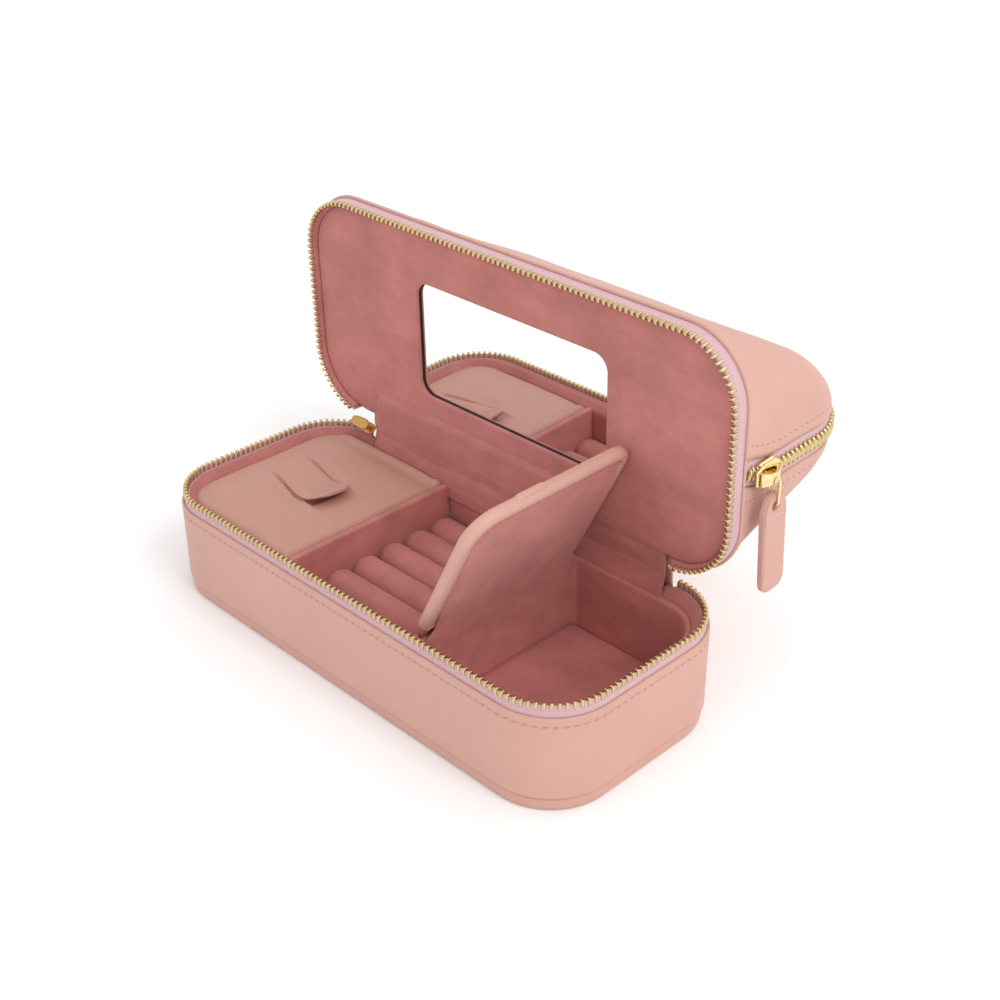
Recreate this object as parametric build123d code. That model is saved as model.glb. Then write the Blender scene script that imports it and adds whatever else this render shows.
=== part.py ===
from build123d import *
import math
import os

# A travel jewellery case, in millimetres. X runs along the case, Y from the front to the hinge,
# Z up. The origin is the middle of the underside. The lid stands open, as it is used.
# Parts of the lid and of the pouch on it are drawn closed, over the tray, and then turned open.

# ---- zip line: the middle of the teeth, round the tray's rim
ZIP_LENGTH = 190.0
ZIP_WIDTH = 80.0
ZIP_CORNER = 21.0
RIM_Z = 39.3
HALF_GAP = 0.15
ZIP_LEFT_END = -77.3
ZIP_RIGHT_END = 73.0
STRIP_LEFT = -65.0
STRIP_RIGHT = 70.0

# ---- how far each layer of the wall lies outside the zip line (inside it, below zero)
LEATHER_OUT = 1.6
BOARD_OUT = 0.6
LINING_OUT = -1.6
LINING_IN = -4.2
BOX_IN = -5.8
FIT = 0.1

# ---- heights in the tray
PLINTH_Z = 4.8
LEATHER_TOP_Z = 34.5
BOARD_TOP_Z = 33.0
LINING_TOP_Z = 33.6
FLOOR_Z = 5.6
BOX_TOP_Z = 32.4
TAPE_TOP_Z = 38.0
TOOTH_GRIP = 1.1
TOOTH_HALF = 1.15

# ---- left compartment and the pad that closes it
LEFT_BOX_TOP_Z = 27.0
PAD_BOARD = 2.0
PAD_TOP_Z = 36.2
DIVIDER_LEFT_X = -30.5
DIVIDER = 2.4
DIVIDER_TOP_Z = 34.6

# ---- ring rolls
ROLL_COUNT = 6
ROLL_PITCH = 11.9
ROLL_R = 5.9
ROLL_Z = 17.8
DIVIDER_RIGHT_X = 29.9

# ---- flap over the right compartment
FLAP_AXIS_X = 32.2
FLAP_AXIS_Z = 35.0
FLAP_OPEN = 63.7
FLAP_LENGTH = 53.5
FLAP_HALF_WIDTH = 34.0
FLAP_CORNER = 11.0
FLAP_LEATHER = 2.2
FLAP_SUEDE = 1.8
FLAP_EDGE = 1.6
FLAP_HINGE_R = 1.2

# ---- lid, drawn closed: heights above the underside
LID_OPEN = 88.7
HINGE_Y = 40.4
HINGE_Z = 47.1
LID_SUEDE_Z = 42.4
LID_BOARD_Z = 44.1
LID_BOARD_TOP_Z = 46.3
LID_SEAM_Z = 44.3
MIRROR_GLASS = 1.6
WINDOW_X = 2.0
WINDOW_LENGTH = 86.0
WINDOW_WIDTH = 42.0
WINDOW_CORNER = 5.0
MIRROR_LAP = 2.5

# ---- pouch on the lid, drawn closed: it narrows from the lid to its zip
POUCH_TOP_Z = 107.8
POUCH_CORNER = 27.0
POUCH_HALF_LENGTH = 95.6
POUCH_WALL = 1.3
LINING_WALL = 0.5
ZIP2_Y = 4.3
ZIP2_TAPE = 4.6
ZIP2_TEETH = 2.7
TEETH_OUT = 1.4

# ---- zip sliders: a plate with a bar on it, a wire link on the bar, a leather pull on the link
SLIDER_LENGTH = 11.0
SLIDER_WIDTH = 8.4
PLATE = 1.0
BAR_R = 0.7
BAR_REACH = 2.5
WIRE_R = 0.5
LINK_WIDTH = 3.6
LINK_LENGTH = 9.75
PULL_LENGTH = 34.8
PULL_WIDTH = 10.8
PULL_THICK = 2.2
PULL_CORNER = 4.4
PULL_HOLE_R = 1.7
PULL_HOLE_DROP = 4.0
PULL_LEAN = 5.0
SLIDER1_X = -71.5
SLIDER1_PLATE_Y = 41.9
SLIDER2_Z = 54.5


def upright(half_length, half_width, corner, z0, z1):
    """A rounded block standing on z0 and reaching z1."""
    outline = RectangleRounded(2 * half_length, 2 * half_width, corner)
    return Pos(0, 0, z0) * extrude(outline, z1 - z0)


def zip_block(out, z0, z1):
    """A block whose sides lie the distance out beyond the zip line."""
    return upright(ZIP_LENGTH / 2 + out, ZIP_WIDTH / 2 + out, ZIP_CORNER + out, z0, z1)


def zip_ring(outer, inner, z0, z1):
    """A ring that follows the zip line between two distances from it."""
    return zip_block(outer, z0, z1) - zip_block(inner, z0 - 1, z1 + 1)


def span(x0, x1, y0, y1, z0, z1):
    """A plain box given by its low and high corners."""
    middle = Pos((x0 + x1) / 2, (y0 + y1) / 2, (z0 + z1) / 2)
    return middle * Box(x1 - x0, y1 - y0, z1 - z0)


def hinge_gap(x0, x1, z0, z1):
    """The stretch at the back where the zip stops and the hinge strip takes over."""
    return span(x0, x1, ZIP_WIDTH / 2 - 9, ZIP_WIDTH / 2 + 9, z0, z1)


def opened(shape):
    """Turns a part that is drawn closed to where it stands with the lid open."""
    axis = Pos(0, HINGE_Y, HINGE_Z)
    return axis * Rot(-LID_OPEN, 0, 0) * Pos(0, -HINGE_Y, -HINGE_Z) * shape


def inner_block(out, x0, x1, z0, z1):
    """The tray's inner outline between two places along X."""
    reach = ZIP_WIDTH
    return zip_block(out, z0, z1) & span(x0, x1, -reach, reach, z0 - 1, z1 + 1)


# ---------------------------------------------------------------- tray
def base_plinth():
    slab = zip_block(LEATHER_OUT - 0.8, 0, PLINTH_Z)
    return fillet(slab.faces().sort_by(Axis.Z)[0].edges(), 1.2)


def wall_board():
    return zip_ring(BOARD_OUT - FIT / 2, LINING_OUT + FIT / 2, PLINTH_Z, BOARD_TOP_Z)


def tray_leather():
    return zip_ring(LEATHER_OUT, BOARD_OUT, PLINTH_Z, LEATHER_TOP_Z)


def tray_lining():
    return zip_ring(LINING_OUT, LINING_IN, PLINTH_Z, LINING_TOP_Z)


def lining_rim():
    """A padded bead that finishes the lining just inside the teeth."""
    ring = zip_ring(LINING_OUT - 0.3, LINING_IN + 0.2, LINING_TOP_Z, LINING_TOP_Z + 3.0)
    top = ring.faces().sort_by(Axis.Z)[-1]
    return fillet(top.edges(), 0.9) - hinge_gap(-79, 71, LINING_TOP_Z - 1, RIM_Z)


def floor_suede():
    return zip_block(LINING_IN - FIT, PLINTH_Z, FLOOR_Z)


def divider(x):
    half = ZIP_WIDTH / 2 + LINING_IN - FIT
    top = DIVIDER_TOP_Z if x < 0 else BOARD_TOP_Z
    return span(x, x + DIVIDER, -half, half, FLOOR_Z, top)


def compartment(x0, x1, z1):
    """A card box without floor or lid, its outer corners following the tray."""
    outer = inner_block(LINING_IN - FIT, x0, x1, FLOOR_Z, z1)
    inner = inner_block(BOX_IN, x0 + 1.6, x1 - 1.6, FLOOR_Z - 1, z1 + 1)
    return outer - inner


def left_box():
    return compartment(-ZIP_LENGTH / 2, DIVIDER_LEFT_X - FIT, LEFT_BOX_TOP_Z)


def right_box():
    return compartment(DIVIDER_RIGHT_X + DIVIDER + FIT, ZIP_LENGTH / 2, BOX_TOP_Z)


def ring_base():
    half = ZIP_WIDTH / 2 + LINING_IN - FIT
    x0 = DIVIDER_LEFT_X + DIVIDER + FIT
    return span(x0, DIVIDER_RIGHT_X - FIT, -half, half, FLOOR_Z, ROLL_Z - ROLL_R)


def ring_roll(number):
    x0 = DIVIDER_LEFT_X + DIVIDER + FIT
    length = DIVIDER_RIGHT_X - FIT - x0
    y = (number - (ROLL_COUNT - 1) / 2) * ROLL_PITCH
    roll = Rot(0, 90, 0) * Cylinder(ROLL_R, length)
    return Pos(x0 + length / 2, y, ROLL_Z) * roll


def tray_tape():
    tape = zip_ring(0.45, -0.45, BOARD_TOP_Z, TAPE_TOP_Z)
    return tape - hinge_gap(ZIP_LEFT_END, ZIP_RIGHT_END, BOARD_TOP_Z - 1, RIM_Z)


def tray_teeth():
    """The row of teeth as one band; each tooth grips the tape's edge."""
    band = zip_ring(TOOTH_HALF, -TOOTH_HALF, TAPE_TOP_Z - TOOTH_GRIP, RIM_Z - HALF_GAP)
    grip = zip_ring(0.45, -0.45, TAPE_TOP_Z - 2, TAPE_TOP_Z)
    gap = hinge_gap(ZIP_LEFT_END, ZIP_RIGHT_END, BOARD_TOP_Z - 1, RIM_Z)
    return band - grip - gap


def hinge_leather():
    """The outer strip that joins the tray's back wall to the lid."""
    y = ZIP_WIDTH / 2 + BOARD_OUT
    return span(STRIP_LEFT, STRIP_RIGHT, y, y + 1.0, LEATHER_TOP_Z, HINGE_Z - 1.4)


def hinge_suede():
    """The soft strip that carries the lining across the hinge."""
    y = ZIP_WIDTH / 2 + LINING_IN + 0.3
    return span(STRIP_LEFT, STRIP_RIGHT, y, y + 1.0, LINING_TOP_Z, HINGE_Z + 2.0)


def flap_hinge():
    rod = Rot(90, 0, 0) * Cylinder(FLAP_HINGE_R, 2 * FLAP_HALF_WIDTH - 1)
    foot = span(-0.6, 0.6, 1 - FLAP_HALF_WIDTH, FLAP_HALF_WIDTH - 1,
                BOARD_TOP_Z - FLAP_AXIS_Z, 0)
    return Pos(FLAP_AXIS_X - 0.6, 0, FLAP_AXIS_Z) * (Pos(0.6, 0, 0) * rod + foot)


# ---------------------------------------------------------------- pad
def pad_edge():
    return DIVIDER_LEFT_X - 0.4


def pad_board():
    z1 = LEFT_BOX_TOP_Z + PAD_BOARD
    return inner_block(LINING_IN - 0.6, -ZIP_LENGTH / 2, pad_edge(), LEFT_BOX_TOP_Z, z1)


def pad_cushion():
    z0 = LEFT_BOX_TOP_Z + PAD_BOARD
    pad = inner_block(LINING_IN - 0.4, -ZIP_LENGTH / 2, pad_edge(), z0, PAD_TOP_Z)
    pad = fillet(pad.faces().sort_by(Axis.Z)[-1].edges(), 2.0)
    return pad - span(-59, -55.5, -8.2, 8.2, PAD_TOP_Z - 3, PAD_TOP_Z + 1)


def pad_tab():
    """A leather tongue that comes up through a slot and lifts the pad."""
    stem = span(-58.6, -56.4, -7.6, 7.6, PAD_TOP_Z - 2.9, PAD_TOP_Z + 1.2)
    tongue = span(-58.6, -47.0, -7.6, 7.6, PAD_TOP_Z + 0.2, PAD_TOP_Z + 1.8)
    return stem + tongue


# ---------------------------------------------------------------- flap, drawn closed
def raised(shape):
    """Turns a flap part that is drawn flat to where it stands."""
    return Pos(FLAP_AXIS_X, 0, FLAP_AXIS_Z) * Rot(0, -FLAP_OPEN, 0) * shape


def flap_sheet(inset, z0, z1):
    """A sheet from the hinge to the free edge, with two rounded corners."""
    length = 2 * (FLAP_LENGTH - inset)
    width = 2 * (FLAP_HALF_WIDTH - inset)
    sheet = extrude(RectangleRounded(length, width, FLAP_CORNER - inset), z1 - z0)
    start = FLAP_HINGE_R + 0.4
    keep = span(start, FLAP_LENGTH + 1, -FLAP_HALF_WIDTH - 1, FLAP_HALF_WIDTH + 1, z0 - 1, z1 + 1)
    return (Pos(0, 0, z0) * sheet) & keep


def flap_leather():
    return raised(flap_sheet(0, 0, FLAP_LEATHER))


def flap_suede():
    return raised(flap_sheet(FLAP_EDGE, -FLAP_SUEDE, 0))


def flap_tab():
    tab = span(FLAP_LENGTH, FLAP_LENGTH + 1.4, -15, -3, 0.2, FLAP_LEATHER - 0.2)
    return raised(tab)


# ---------------------------------------------------------------- lid, drawn closed
def lid_board():
    board = zip_block(-0.4, LID_BOARD_Z, LID_BOARD_TOP_Z)
    half_length = WINDOW_LENGTH / 2 + MIRROR_LAP + FIT
    half_width = WINDOW_WIDTH / 2 + MIRROR_LAP + FIT
    place = upright(half_length, half_width, 2, LID_BOARD_Z - 1, LID_BOARD_TOP_Z + 1)
    return board - Pos(WINDOW_X, 0, 0) * place


def lid_suede():
    face = zip_block(-2.0, LID_SUEDE_Z, LID_BOARD_Z)
    window = upright(WINDOW_LENGTH / 2, WINDOW_WIDTH / 2, WINDOW_CORNER,
                     LID_SUEDE_Z - 1, LID_BOARD_Z + 1)
    return face - Pos(WINDOW_X, 0, 0) * window


def mirror_block(z0, z1):
    block = upright(WINDOW_LENGTH / 2 + MIRROR_LAP, WINDOW_WIDTH / 2 + MIRROR_LAP, 2, z0, z1)
    return Pos(WINDOW_X, 0, 0) * block


def mirror_glass():
    return mirror_block(LID_BOARD_Z, LID_BOARD_Z + MIRROR_GLASS)


def mirror_backing():
    return mirror_block(LID_BOARD_Z + MIRROR_GLASS, LID_BOARD_TOP_Z)


def lid_tape():
    tape = zip_ring(0.45, -0.35, 2 * RIM_Z - TAPE_TOP_Z, LID_BOARD_TOP_Z)
    return tape - hinge_gap(ZIP_LEFT_END, ZIP_RIGHT_END, RIM_Z, LID_BOARD_TOP_Z + 1)


def lid_teeth():
    z0 = RIM_Z + HALF_GAP
    tape_z = 2 * RIM_Z - TAPE_TOP_Z
    band = zip_ring(TOOTH_HALF, -TOOTH_HALF, z0, tape_z + TOOTH_GRIP)
    grip = zip_ring(0.45, -0.45, tape_z, tape_z + 2)
    return band - grip - hinge_gap(ZIP_LEFT_END, ZIP_RIGHT_END, RIM_Z - 1, LID_BOARD_TOP_Z)


# ---------------------------------------------------------------- pouch, drawn closed
def pouch_half_length(z):
    """The half length at a height: straight sides, then a quarter circle over the top."""
    start = POUCH_TOP_Z - POUCH_CORNER
    if z <= start:
        return POUCH_HALF_LENGTH
    rise = min(z - start, POUCH_CORNER)
    return POUCH_HALF_LENGTH - POUCH_CORNER + math.sqrt(POUCH_CORNER**2 - rise**2)


# height, how far the front and back walls stand from the zip plane, corner radius
POUCH_SECTIONS = (
    (LID_BOARD_TOP_Z + 0.1, 45.0, 36.4, 22.0),
    (62.0, 37.5, 28.0, 17.0),
    (82.0, 26.8, 19.3, 13.0),
    (95.0, 16.8, 12.8, 11.0),
    (103.0, 10.2, 9.0, 8.0),
    (POUCH_TOP_Z, 5.6, 5.6, 5.0),
)


def pouch_block(inset):
    """The pouch's outer form, drawn in by inset all round."""
    outlines = []
    for z, front, back, corner in POUCH_SECTIONS:
        half_width = (front + back) / 2 - inset
        half_length = pouch_half_length(z) - inset
        outline = RectangleRounded(2 * half_length, 2 * half_width,
                                   min(corner, half_width) - inset)
        level = z - inset if z == POUCH_TOP_Z else z
        outlines.append(Pos(0, ZIP2_Y + (back - front) / 2, level) * outline)
    return loft(outlines, ruled=True)


def beside_zip2(side, reach):
    """The half space on one side of the zip plane, at least reach away from it."""
    far = 60
    if side < 0:
        return span(-120, 120, ZIP2_Y - far, ZIP2_Y - reach, 0, 130)
    return span(-120, 120, ZIP2_Y + reach, ZIP2_Y + far, 0, 130)


def pouch_shell(outer, inner):
    return pouch_block(outer) - pouch_block(inner)


def pouch_wall(side):
    return opened(pouch_shell(0, POUCH_WALL) & beside_zip2(side, ZIP2_TAPE))


def zip2_tape(side):
    strip = pouch_shell(0.3, POUCH_WALL - 0.1) & beside_zip2(side, FIT)
    return opened(strip & beside_zip2(-side, -ZIP2_TAPE + FIT))


def arch(half, top, corner, y0, y1):
    """A block under an arch: upright sides and two rounded top corners, from y0 to y1."""
    z0 = LID_BOARD_TOP_Z + 1.5
    outline = Pos(0, (z0 + top) / 2) * Rectangle(2 * half, top - z0)
    outline = fillet(outline.vertices().group_by(Axis.Y)[-1], corner)
    return Pos(0, y1, 0) * extrude(Plane.XZ * outline, y1 - y0)


def zip2_teeth(side):
    """One row of the second zip's closed teeth, as a band over the arch."""
    y0 = ZIP2_Y + FIT if side > 0 else ZIP2_Y - ZIP2_TEETH
    y1 = y0 + ZIP2_TEETH - FIT
    half, top = POUCH_HALF_LENGTH, POUCH_TOP_Z
    outer = arch(half + TEETH_OUT, top + TEETH_OUT, POUCH_CORNER + TEETH_OUT, y0, y1)
    inner = arch(half + FIT, top + FIT, POUCH_CORNER + FIT, y0 - 1, y1 + 1)
    return opened(outer - inner - span(-120, 120, -60, 60, 0, LID_BOARD_TOP_Z + 2))


def pouch_lining():
    skin = pouch_shell(POUCH_WALL + 0.1, POUCH_WALL + 0.1 + LINING_WALL)
    slit = span(-120, 120, ZIP2_Y - 3, ZIP2_Y + 3, LID_BOARD_TOP_Z + 4, 130)
    return opened(skin - slit)


def lid_leather():
    """The leather edge between the lid's teeth and the pouch."""
    return opened(zip_ring(LEATHER_OUT, BOARD_OUT, LID_SEAM_Z, LID_BOARD_TOP_Z))


# ---------------------------------------------------------------- zip pulls
def slider_shape():
    """The outer half of a slider, lying flat: travel along X, outside up, plate from Z 0."""
    half_length, half_width = SLIDER_LENGTH / 2, SLIDER_WIDTH / 2
    plate = extrude(RectangleRounded(SLIDER_LENGTH, SLIDER_WIDTH, 2.6), PLATE)
    rails = span(-half_length + 2.6, half_length - 2.6, 3.0, half_width, -1.5, 0.5)
    rails = rails + mirror(rails, Plane.XZ)
    bar_z = PLATE + BAR_REACH
    bar = Pos(0, 0, bar_z) * Rot(0, 90, 0) * Cylinder(BAR_R, 7.2)
    post = span(-3.6, -2.4, -1.1, 1.1, PLATE - 0.1, bar_z + BAR_R)
    return plate + rails + bar + post + mirror(post, Plane.YZ)


def link_shape():
    """A long wire link standing on Z in the XZ plane, its top strand over the origin."""
    reach = LINK_LENGTH + 2 * WIRE_R
    width = LINK_WIDTH + 2 * WIRE_R
    outer = SlotOverall(reach, width)
    inner = SlotOverall(reach - 4 * WIRE_R, width - 4 * WIRE_R)
    loop = extrude(outer - inner, 2 * WIRE_R)
    loop = fillet(loop.edges().filter_by(GeomType.CIRCLE), WIRE_R * 0.7)
    drop = BAR_R + WIRE_R + 0.05 - LINK_LENGTH / 2
    return Pos(0, WIRE_R, drop) * Rot(90, 0, 0) * Rot(0, 0, 90) * loop


def pull_shape():
    """A leather pull hanging on Z, faced along X, with its hole at the origin."""
    tab = extrude(RectangleRounded(PULL_WIDTH, PULL_LENGTH, PULL_CORNER), PULL_THICK)
    hole = Pos(0, PULL_LENGTH / 2 - PULL_HOLE_DROP, 0) * Cylinder(PULL_HOLE_R, 3 * PULL_THICK)
    lowered = Pos(0, PULL_HOLE_DROP - PULL_LENGTH / 2, -PULL_THICK / 2) * (tab - hole)
    return Rot(0, 0, 90) * Rot(90, 0, 0) * lowered


def bar2_place():
    """Where the second slider's bar stands with the lid open: X, Y, Z."""
    x = POUCH_HALF_LENGTH + TEETH_OUT + 0.2 + PLATE + BAR_REACH
    point = opened(Pos(x, ZIP2_Y, SLIDER2_Z) * Sphere(1)).center()
    return point.X, point.Y, point.Z


def slider_2():
    x = POUCH_HALF_LENGTH + TEETH_OUT + 0.2
    return opened(Pos(x, ZIP2_Y, SLIDER2_Z) * Rot(0, 90, 0) * slider_shape())


def link_2():
    return Pos(*bar2_place()) * link_shape()


def hole2_place():
    x, y, z = bar2_place()
    return x, y, z + BAR_R + WIRE_R + 0.05 - LINK_LENGTH


def pull_2():
    return Pos(*hole2_place()) * Rot(PULL_LEAN, 0, 0) * pull_shape()


def half_opened(shape):
    """The first slider straddles both rows, so it turns half as far as the lid."""
    axis = Pos(0, HINGE_Y, HINGE_Z)
    return axis * Rot(-LID_OPEN / 2, 0, 0) * Pos(0, -HINGE_Y, -HINGE_Z) * shape


def slider_1():
    plate = Pos(SLIDER1_X, SLIDER1_PLATE_Y, RIM_Z) * Rot(-90, 0, 0)
    core = extrude(RectangleRounded(SLIDER_LENGTH, 6.0, 2.4), PLATE)
    bar_z = PLATE + BAR_REACH
    bar = Pos(0, 0, bar_z) * Rot(0, 90, 0) * Cylinder(BAR_R, 7.2)
    post = span(-3.6, -2.4, -1.1, 1.1, PLATE - 0.1, bar_z + BAR_R)
    web = span(3.4, 4.6, -1.0, 1.0, -4.0, 0.1)
    inner = Pos(0, 0, -4.8) * core
    shape = core + inner + web + bar + post + mirror(post, Plane.YZ)
    return half_opened(plate * shape)


def bar1_place():
    y = SLIDER1_PLATE_Y + PLATE + BAR_REACH
    point = half_opened(Pos(SLIDER1_X, y, RIM_Z) * Sphere(1)).center()
    return point.X, point.Y, point.Z


def link_1():
    """The first slider's link lies level, over the wall's edge."""
    return Pos(*bar1_place()) * Rot(90, 0, 0) * Rot(0, 0, 90) * link_shape()


def hole1_place():
    x, y, z = bar1_place()
    return x, y + LINK_LENGTH - BAR_R - WIRE_R - 0.05, z


def pull_1():
    """The first pull lies level on from its link, behind the tray."""
    return Pos(*hole1_place()) * Rot(90, 0, 0) * Rot(0, 0, 90) * pull_shape()


# ---------------------------------------------------------------- the files
PARTS = {
    "base_plinth": base_plinth,
    "wall_board": wall_board,
    "tray_leather": tray_leather,
    "tray_lining": tray_lining,
    "lining_rim": lining_rim,
    "floor_suede": floor_suede,
    "left_box": left_box,
    "right_box": right_box,
    "ring_base": ring_base,
    "tray_tape": tray_tape,
    "tray_teeth": tray_teeth,
    "hinge_leather": hinge_leather,
    "hinge_suede": hinge_suede,
    "flap_hinge": flap_hinge,
    "pad_board": pad_board,
    "pad_cushion": pad_cushion,
    "pad_tab": pad_tab,
    "flap_leather": flap_leather,
    "flap_suede": flap_suede,
    "flap_tab": flap_tab,
    "lid_board": lambda: opened(lid_board()),
    "lid_suede": lambda: opened(lid_suede()),
    "mirror_glass": lambda: opened(mirror_glass()),
    "mirror_backing": lambda: opened(mirror_backing()),
    "lid_tape": lambda: opened(lid_tape()),
    "lid_teeth": lambda: opened(lid_teeth()),
    "lid_leather": lid_leather,
    "pouch_lining": pouch_lining,
    "slider_1": slider_1,
    "link_1": link_1,
    "pull_1": pull_1,
    "slider_2": slider_2,
    "link_2": link_2,
    "pull_2": pull_2,
}


def write_all():
    os.makedirs("parts", exist_ok=True)
    shapes = {name: make() for name, make in PARTS.items()}
    shapes["divider_left"] = divider(DIVIDER_LEFT_X)
    shapes["divider_right"] = divider(DIVIDER_RIGHT_X)
    for number in range(ROLL_COUNT):
        shapes[f"ring_roll_{number + 1}"] = ring_roll(number)
    for name, side in (("front", -1), ("back", 1)):
        shapes[f"pouch_{name}"] = pouch_wall(side)
        shapes[f"pouch_tape_{name}"] = zip2_tape(side)
        shapes[f"pouch_teeth_{name}"] = zip2_teeth(side)
    for name, shape in shapes.items():
        export_step(shape, f"parts/{name}.step")
    print("bar 2", bar2_place(), "hole 2", hole2_place())
    print("bar 1", bar1_place(), "hole 1", hole1_place())


write_all()
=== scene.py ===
"""A travel jewellery case with a zip pouch on its lid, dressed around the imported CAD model.

Lengths here are millimetres in the CAD frame, and mesh() turns them into metres. What belongs to
the lid and its pouch is drawn closed, over the tray, and lid_up() turns it open, as in the CAD.
"""
import math

import bmesh
import bpy
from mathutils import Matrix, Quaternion, Vector, noise
from mathutils.bvhtree import BVHTree


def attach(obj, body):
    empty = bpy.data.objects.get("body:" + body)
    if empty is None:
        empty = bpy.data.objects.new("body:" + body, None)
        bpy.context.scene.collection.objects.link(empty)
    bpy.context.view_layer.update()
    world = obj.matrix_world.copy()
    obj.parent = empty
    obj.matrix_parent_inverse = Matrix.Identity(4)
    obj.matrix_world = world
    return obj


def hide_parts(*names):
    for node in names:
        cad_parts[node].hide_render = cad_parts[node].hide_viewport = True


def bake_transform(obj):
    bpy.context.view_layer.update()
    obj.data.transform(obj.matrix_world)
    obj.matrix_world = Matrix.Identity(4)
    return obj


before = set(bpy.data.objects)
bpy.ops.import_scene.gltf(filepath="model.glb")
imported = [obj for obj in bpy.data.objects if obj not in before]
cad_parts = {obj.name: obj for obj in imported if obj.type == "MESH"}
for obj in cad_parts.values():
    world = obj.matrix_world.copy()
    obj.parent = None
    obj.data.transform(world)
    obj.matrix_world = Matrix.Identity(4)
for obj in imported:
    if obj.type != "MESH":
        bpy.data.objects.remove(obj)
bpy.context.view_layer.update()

MM = 0.001

# ---- driving dimensions, as in the CAD
ZIP_LENGTH = 190.0
ZIP_WIDTH = 80.0
ZIP_CORNER = 21.0
RIM_Z = 39.3
ZIP_LEFT_END = -77.3
ZIP_RIGHT_END = 73.0
LEATHER_OUT = 1.6
LEATHER_IN = 0.65
PLINTH_OUT = 0.8
PLINTH_Z = 4.8
LEATHER_TOP_Z = 34.5
HINGE_Y = 40.4
HINGE_Z = 47.1
LID_OPEN = 88.7
LID_SUEDE_Z = 42.4
POUCH_TOP_Z = 107.8
POUCH_CORNER = 27.0
POUCH_HALF_LENGTH = 95.6
ZIP2_Y = 4.3
ZIP2_TAPE = 4.6

# ---- zips and seams
PITCH = 2.2
TOOTH_HALF = 0.9
TOOTH_LONG = 1.08
TOOTH_Z = 38.0
STITCH_PITCH = 2.9
STITCH_LONG = 2.1
STITCH_R = 0.19
STITCH_Z = 31.4


# ================================================================ mesh helpers
def mesh(name, points, faces, uvs=None):
    """A smooth mesh object from points in millimetres; uvs are given corner by corner."""
    data = bpy.data.meshes.new(name)
    data.from_pydata([[c * MM for c in p] for p in points], [], faces)
    if uvs:
        layer = data.uv_layers.new(name="along_and_across")
        for corner, uv in zip(layer.data, uvs):
            corner.uv = uv
    obj = bpy.data.objects.new(name, data)
    bpy.context.scene.collection.objects.link(obj)
    shell = bmesh.new()
    shell.from_mesh(data)
    bmesh.ops.recalc_face_normals(shell, faces=shell.faces)
    shell.to_mesh(data)
    shell.free()
    data.polygons.foreach_set("use_smooth", [True] * len(data.polygons))
    return obj


def grid(rows, round_u=False, round_v=False, us=None, vs=None, caps=False):
    """Points, faces and corner UVs of a net; rows are lists of points of one length."""
    nu, nv = len(rows), len(rows[0])
    us = us or list(range(nu + 1))
    vs = vs or list(range(nv + 1))
    faces, uvs = [], []
    for i in range(nu if round_u else nu - 1):
        for j in range(nv if round_v else nv - 1):
            k, m = (i + 1) % nu, (j + 1) % nv
            faces.append((i * nv + j, k * nv + j, k * nv + m, i * nv + m))
            uvs += [(us[i], vs[j]), (us[i + 1], vs[j]), (us[i + 1], vs[j + 1]), (us[i], vs[j + 1])]
    if caps:
        faces += [tuple(range(nv)), tuple(range((nu - 1) * nv, nu * nv))]
        uvs += [(0, 0)] * (2 * nv)
    return [p for row in rows for p in row], faces, uvs


def rings(name, rows):
    """A mesh through closed rings of points, capped at both ends."""
    return mesh(name, *grid(rows, False, True, caps=True))


def lengths(points, closed=True):
    """How far along a line of points each point lies, with the closing length at the end."""
    total, out = 0.0, [0.0]
    for a, b in zip(points, points[1:] + ([points[0]] if closed else [])):
        total += math.dist(a, b)
        out.append(total)
    return out if closed else out + [total]


def filleted(corners, steps=4):
    """A closed outline through corners (a, b, radius), each rounded by its radius."""
    out, n = [], len(corners)
    for i, (a, b, radius) in enumerate(corners):
        if radius <= 0:
            out.append((a, b))
            continue
        here = Vector((a, b))
        back = Vector(corners[i - 1][:2]) - here
        ahead = Vector(corners[(i + 1) % n][:2]) - here
        reach = min(radius / math.tan(back.angle(ahead) / 2), 0.49 * back.length, 0.49 * ahead.length)
        start, end = here + back.normalized() * reach, here + ahead.normalized() * reach
        for k in range(steps + 1):
            t = k / steps
            out.append(tuple(start.lerp(here, t).lerp(here.lerp(end, t), t)))
    return out


def smooth_step(t):
    t = min(1.0, max(0.0, t))
    return t * t * (3 - 2 * t)


def bell(x, width):
    return math.exp(-(x / width) ** 2)


def ripple(x, y, size, seed):
    return noise.noise(Vector((x / size, y / size, seed)))


def solid(obj, thickness):
    """Gives a sheet its thickness, inwards."""
    modifier = obj.modifiers.new("solid", "SOLIDIFY")
    modifier.thickness = thickness * MM
    modifier.offset = -1
    modifier.use_quality_normals = True
    return obj


def settle(obj):
    """Makes a piece's modifiers part of its mesh."""
    bpy.context.view_layer.objects.active = obj
    for modifier in list(obj.modifiers):
        bpy.ops.object.modifier_apply(modifier=modifier.name)


def lid_up(p, angle=LID_OPEN):
    """Turns a point from the closed lid to the open one, about the hinge."""
    turn = math.radians(angle)
    y, z = p[1] - HINGE_Y, p[2] - HINGE_Z
    return (p[0], HINGE_Y + y * math.cos(turn) + z * math.sin(turn),
            HINGE_Z - y * math.sin(turn) + z * math.cos(turn))


def stay(p):
    return p


# ---------------------------------------------------------------- the zip line round the rim
STRAIGHT_X = ZIP_LENGTH / 2 - ZIP_CORNER
STRAIGHT_Y = ZIP_WIDTH / 2 - ZIP_CORNER
ARC = ZIP_CORNER * math.pi / 2
PERIMETER = 4 * (STRAIGHT_X + STRAIGHT_Y + ARC)
ZIP_START = -ZIP_LEFT_END
ZIP_END = PERIMETER - ZIP_RIGHT_END


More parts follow.
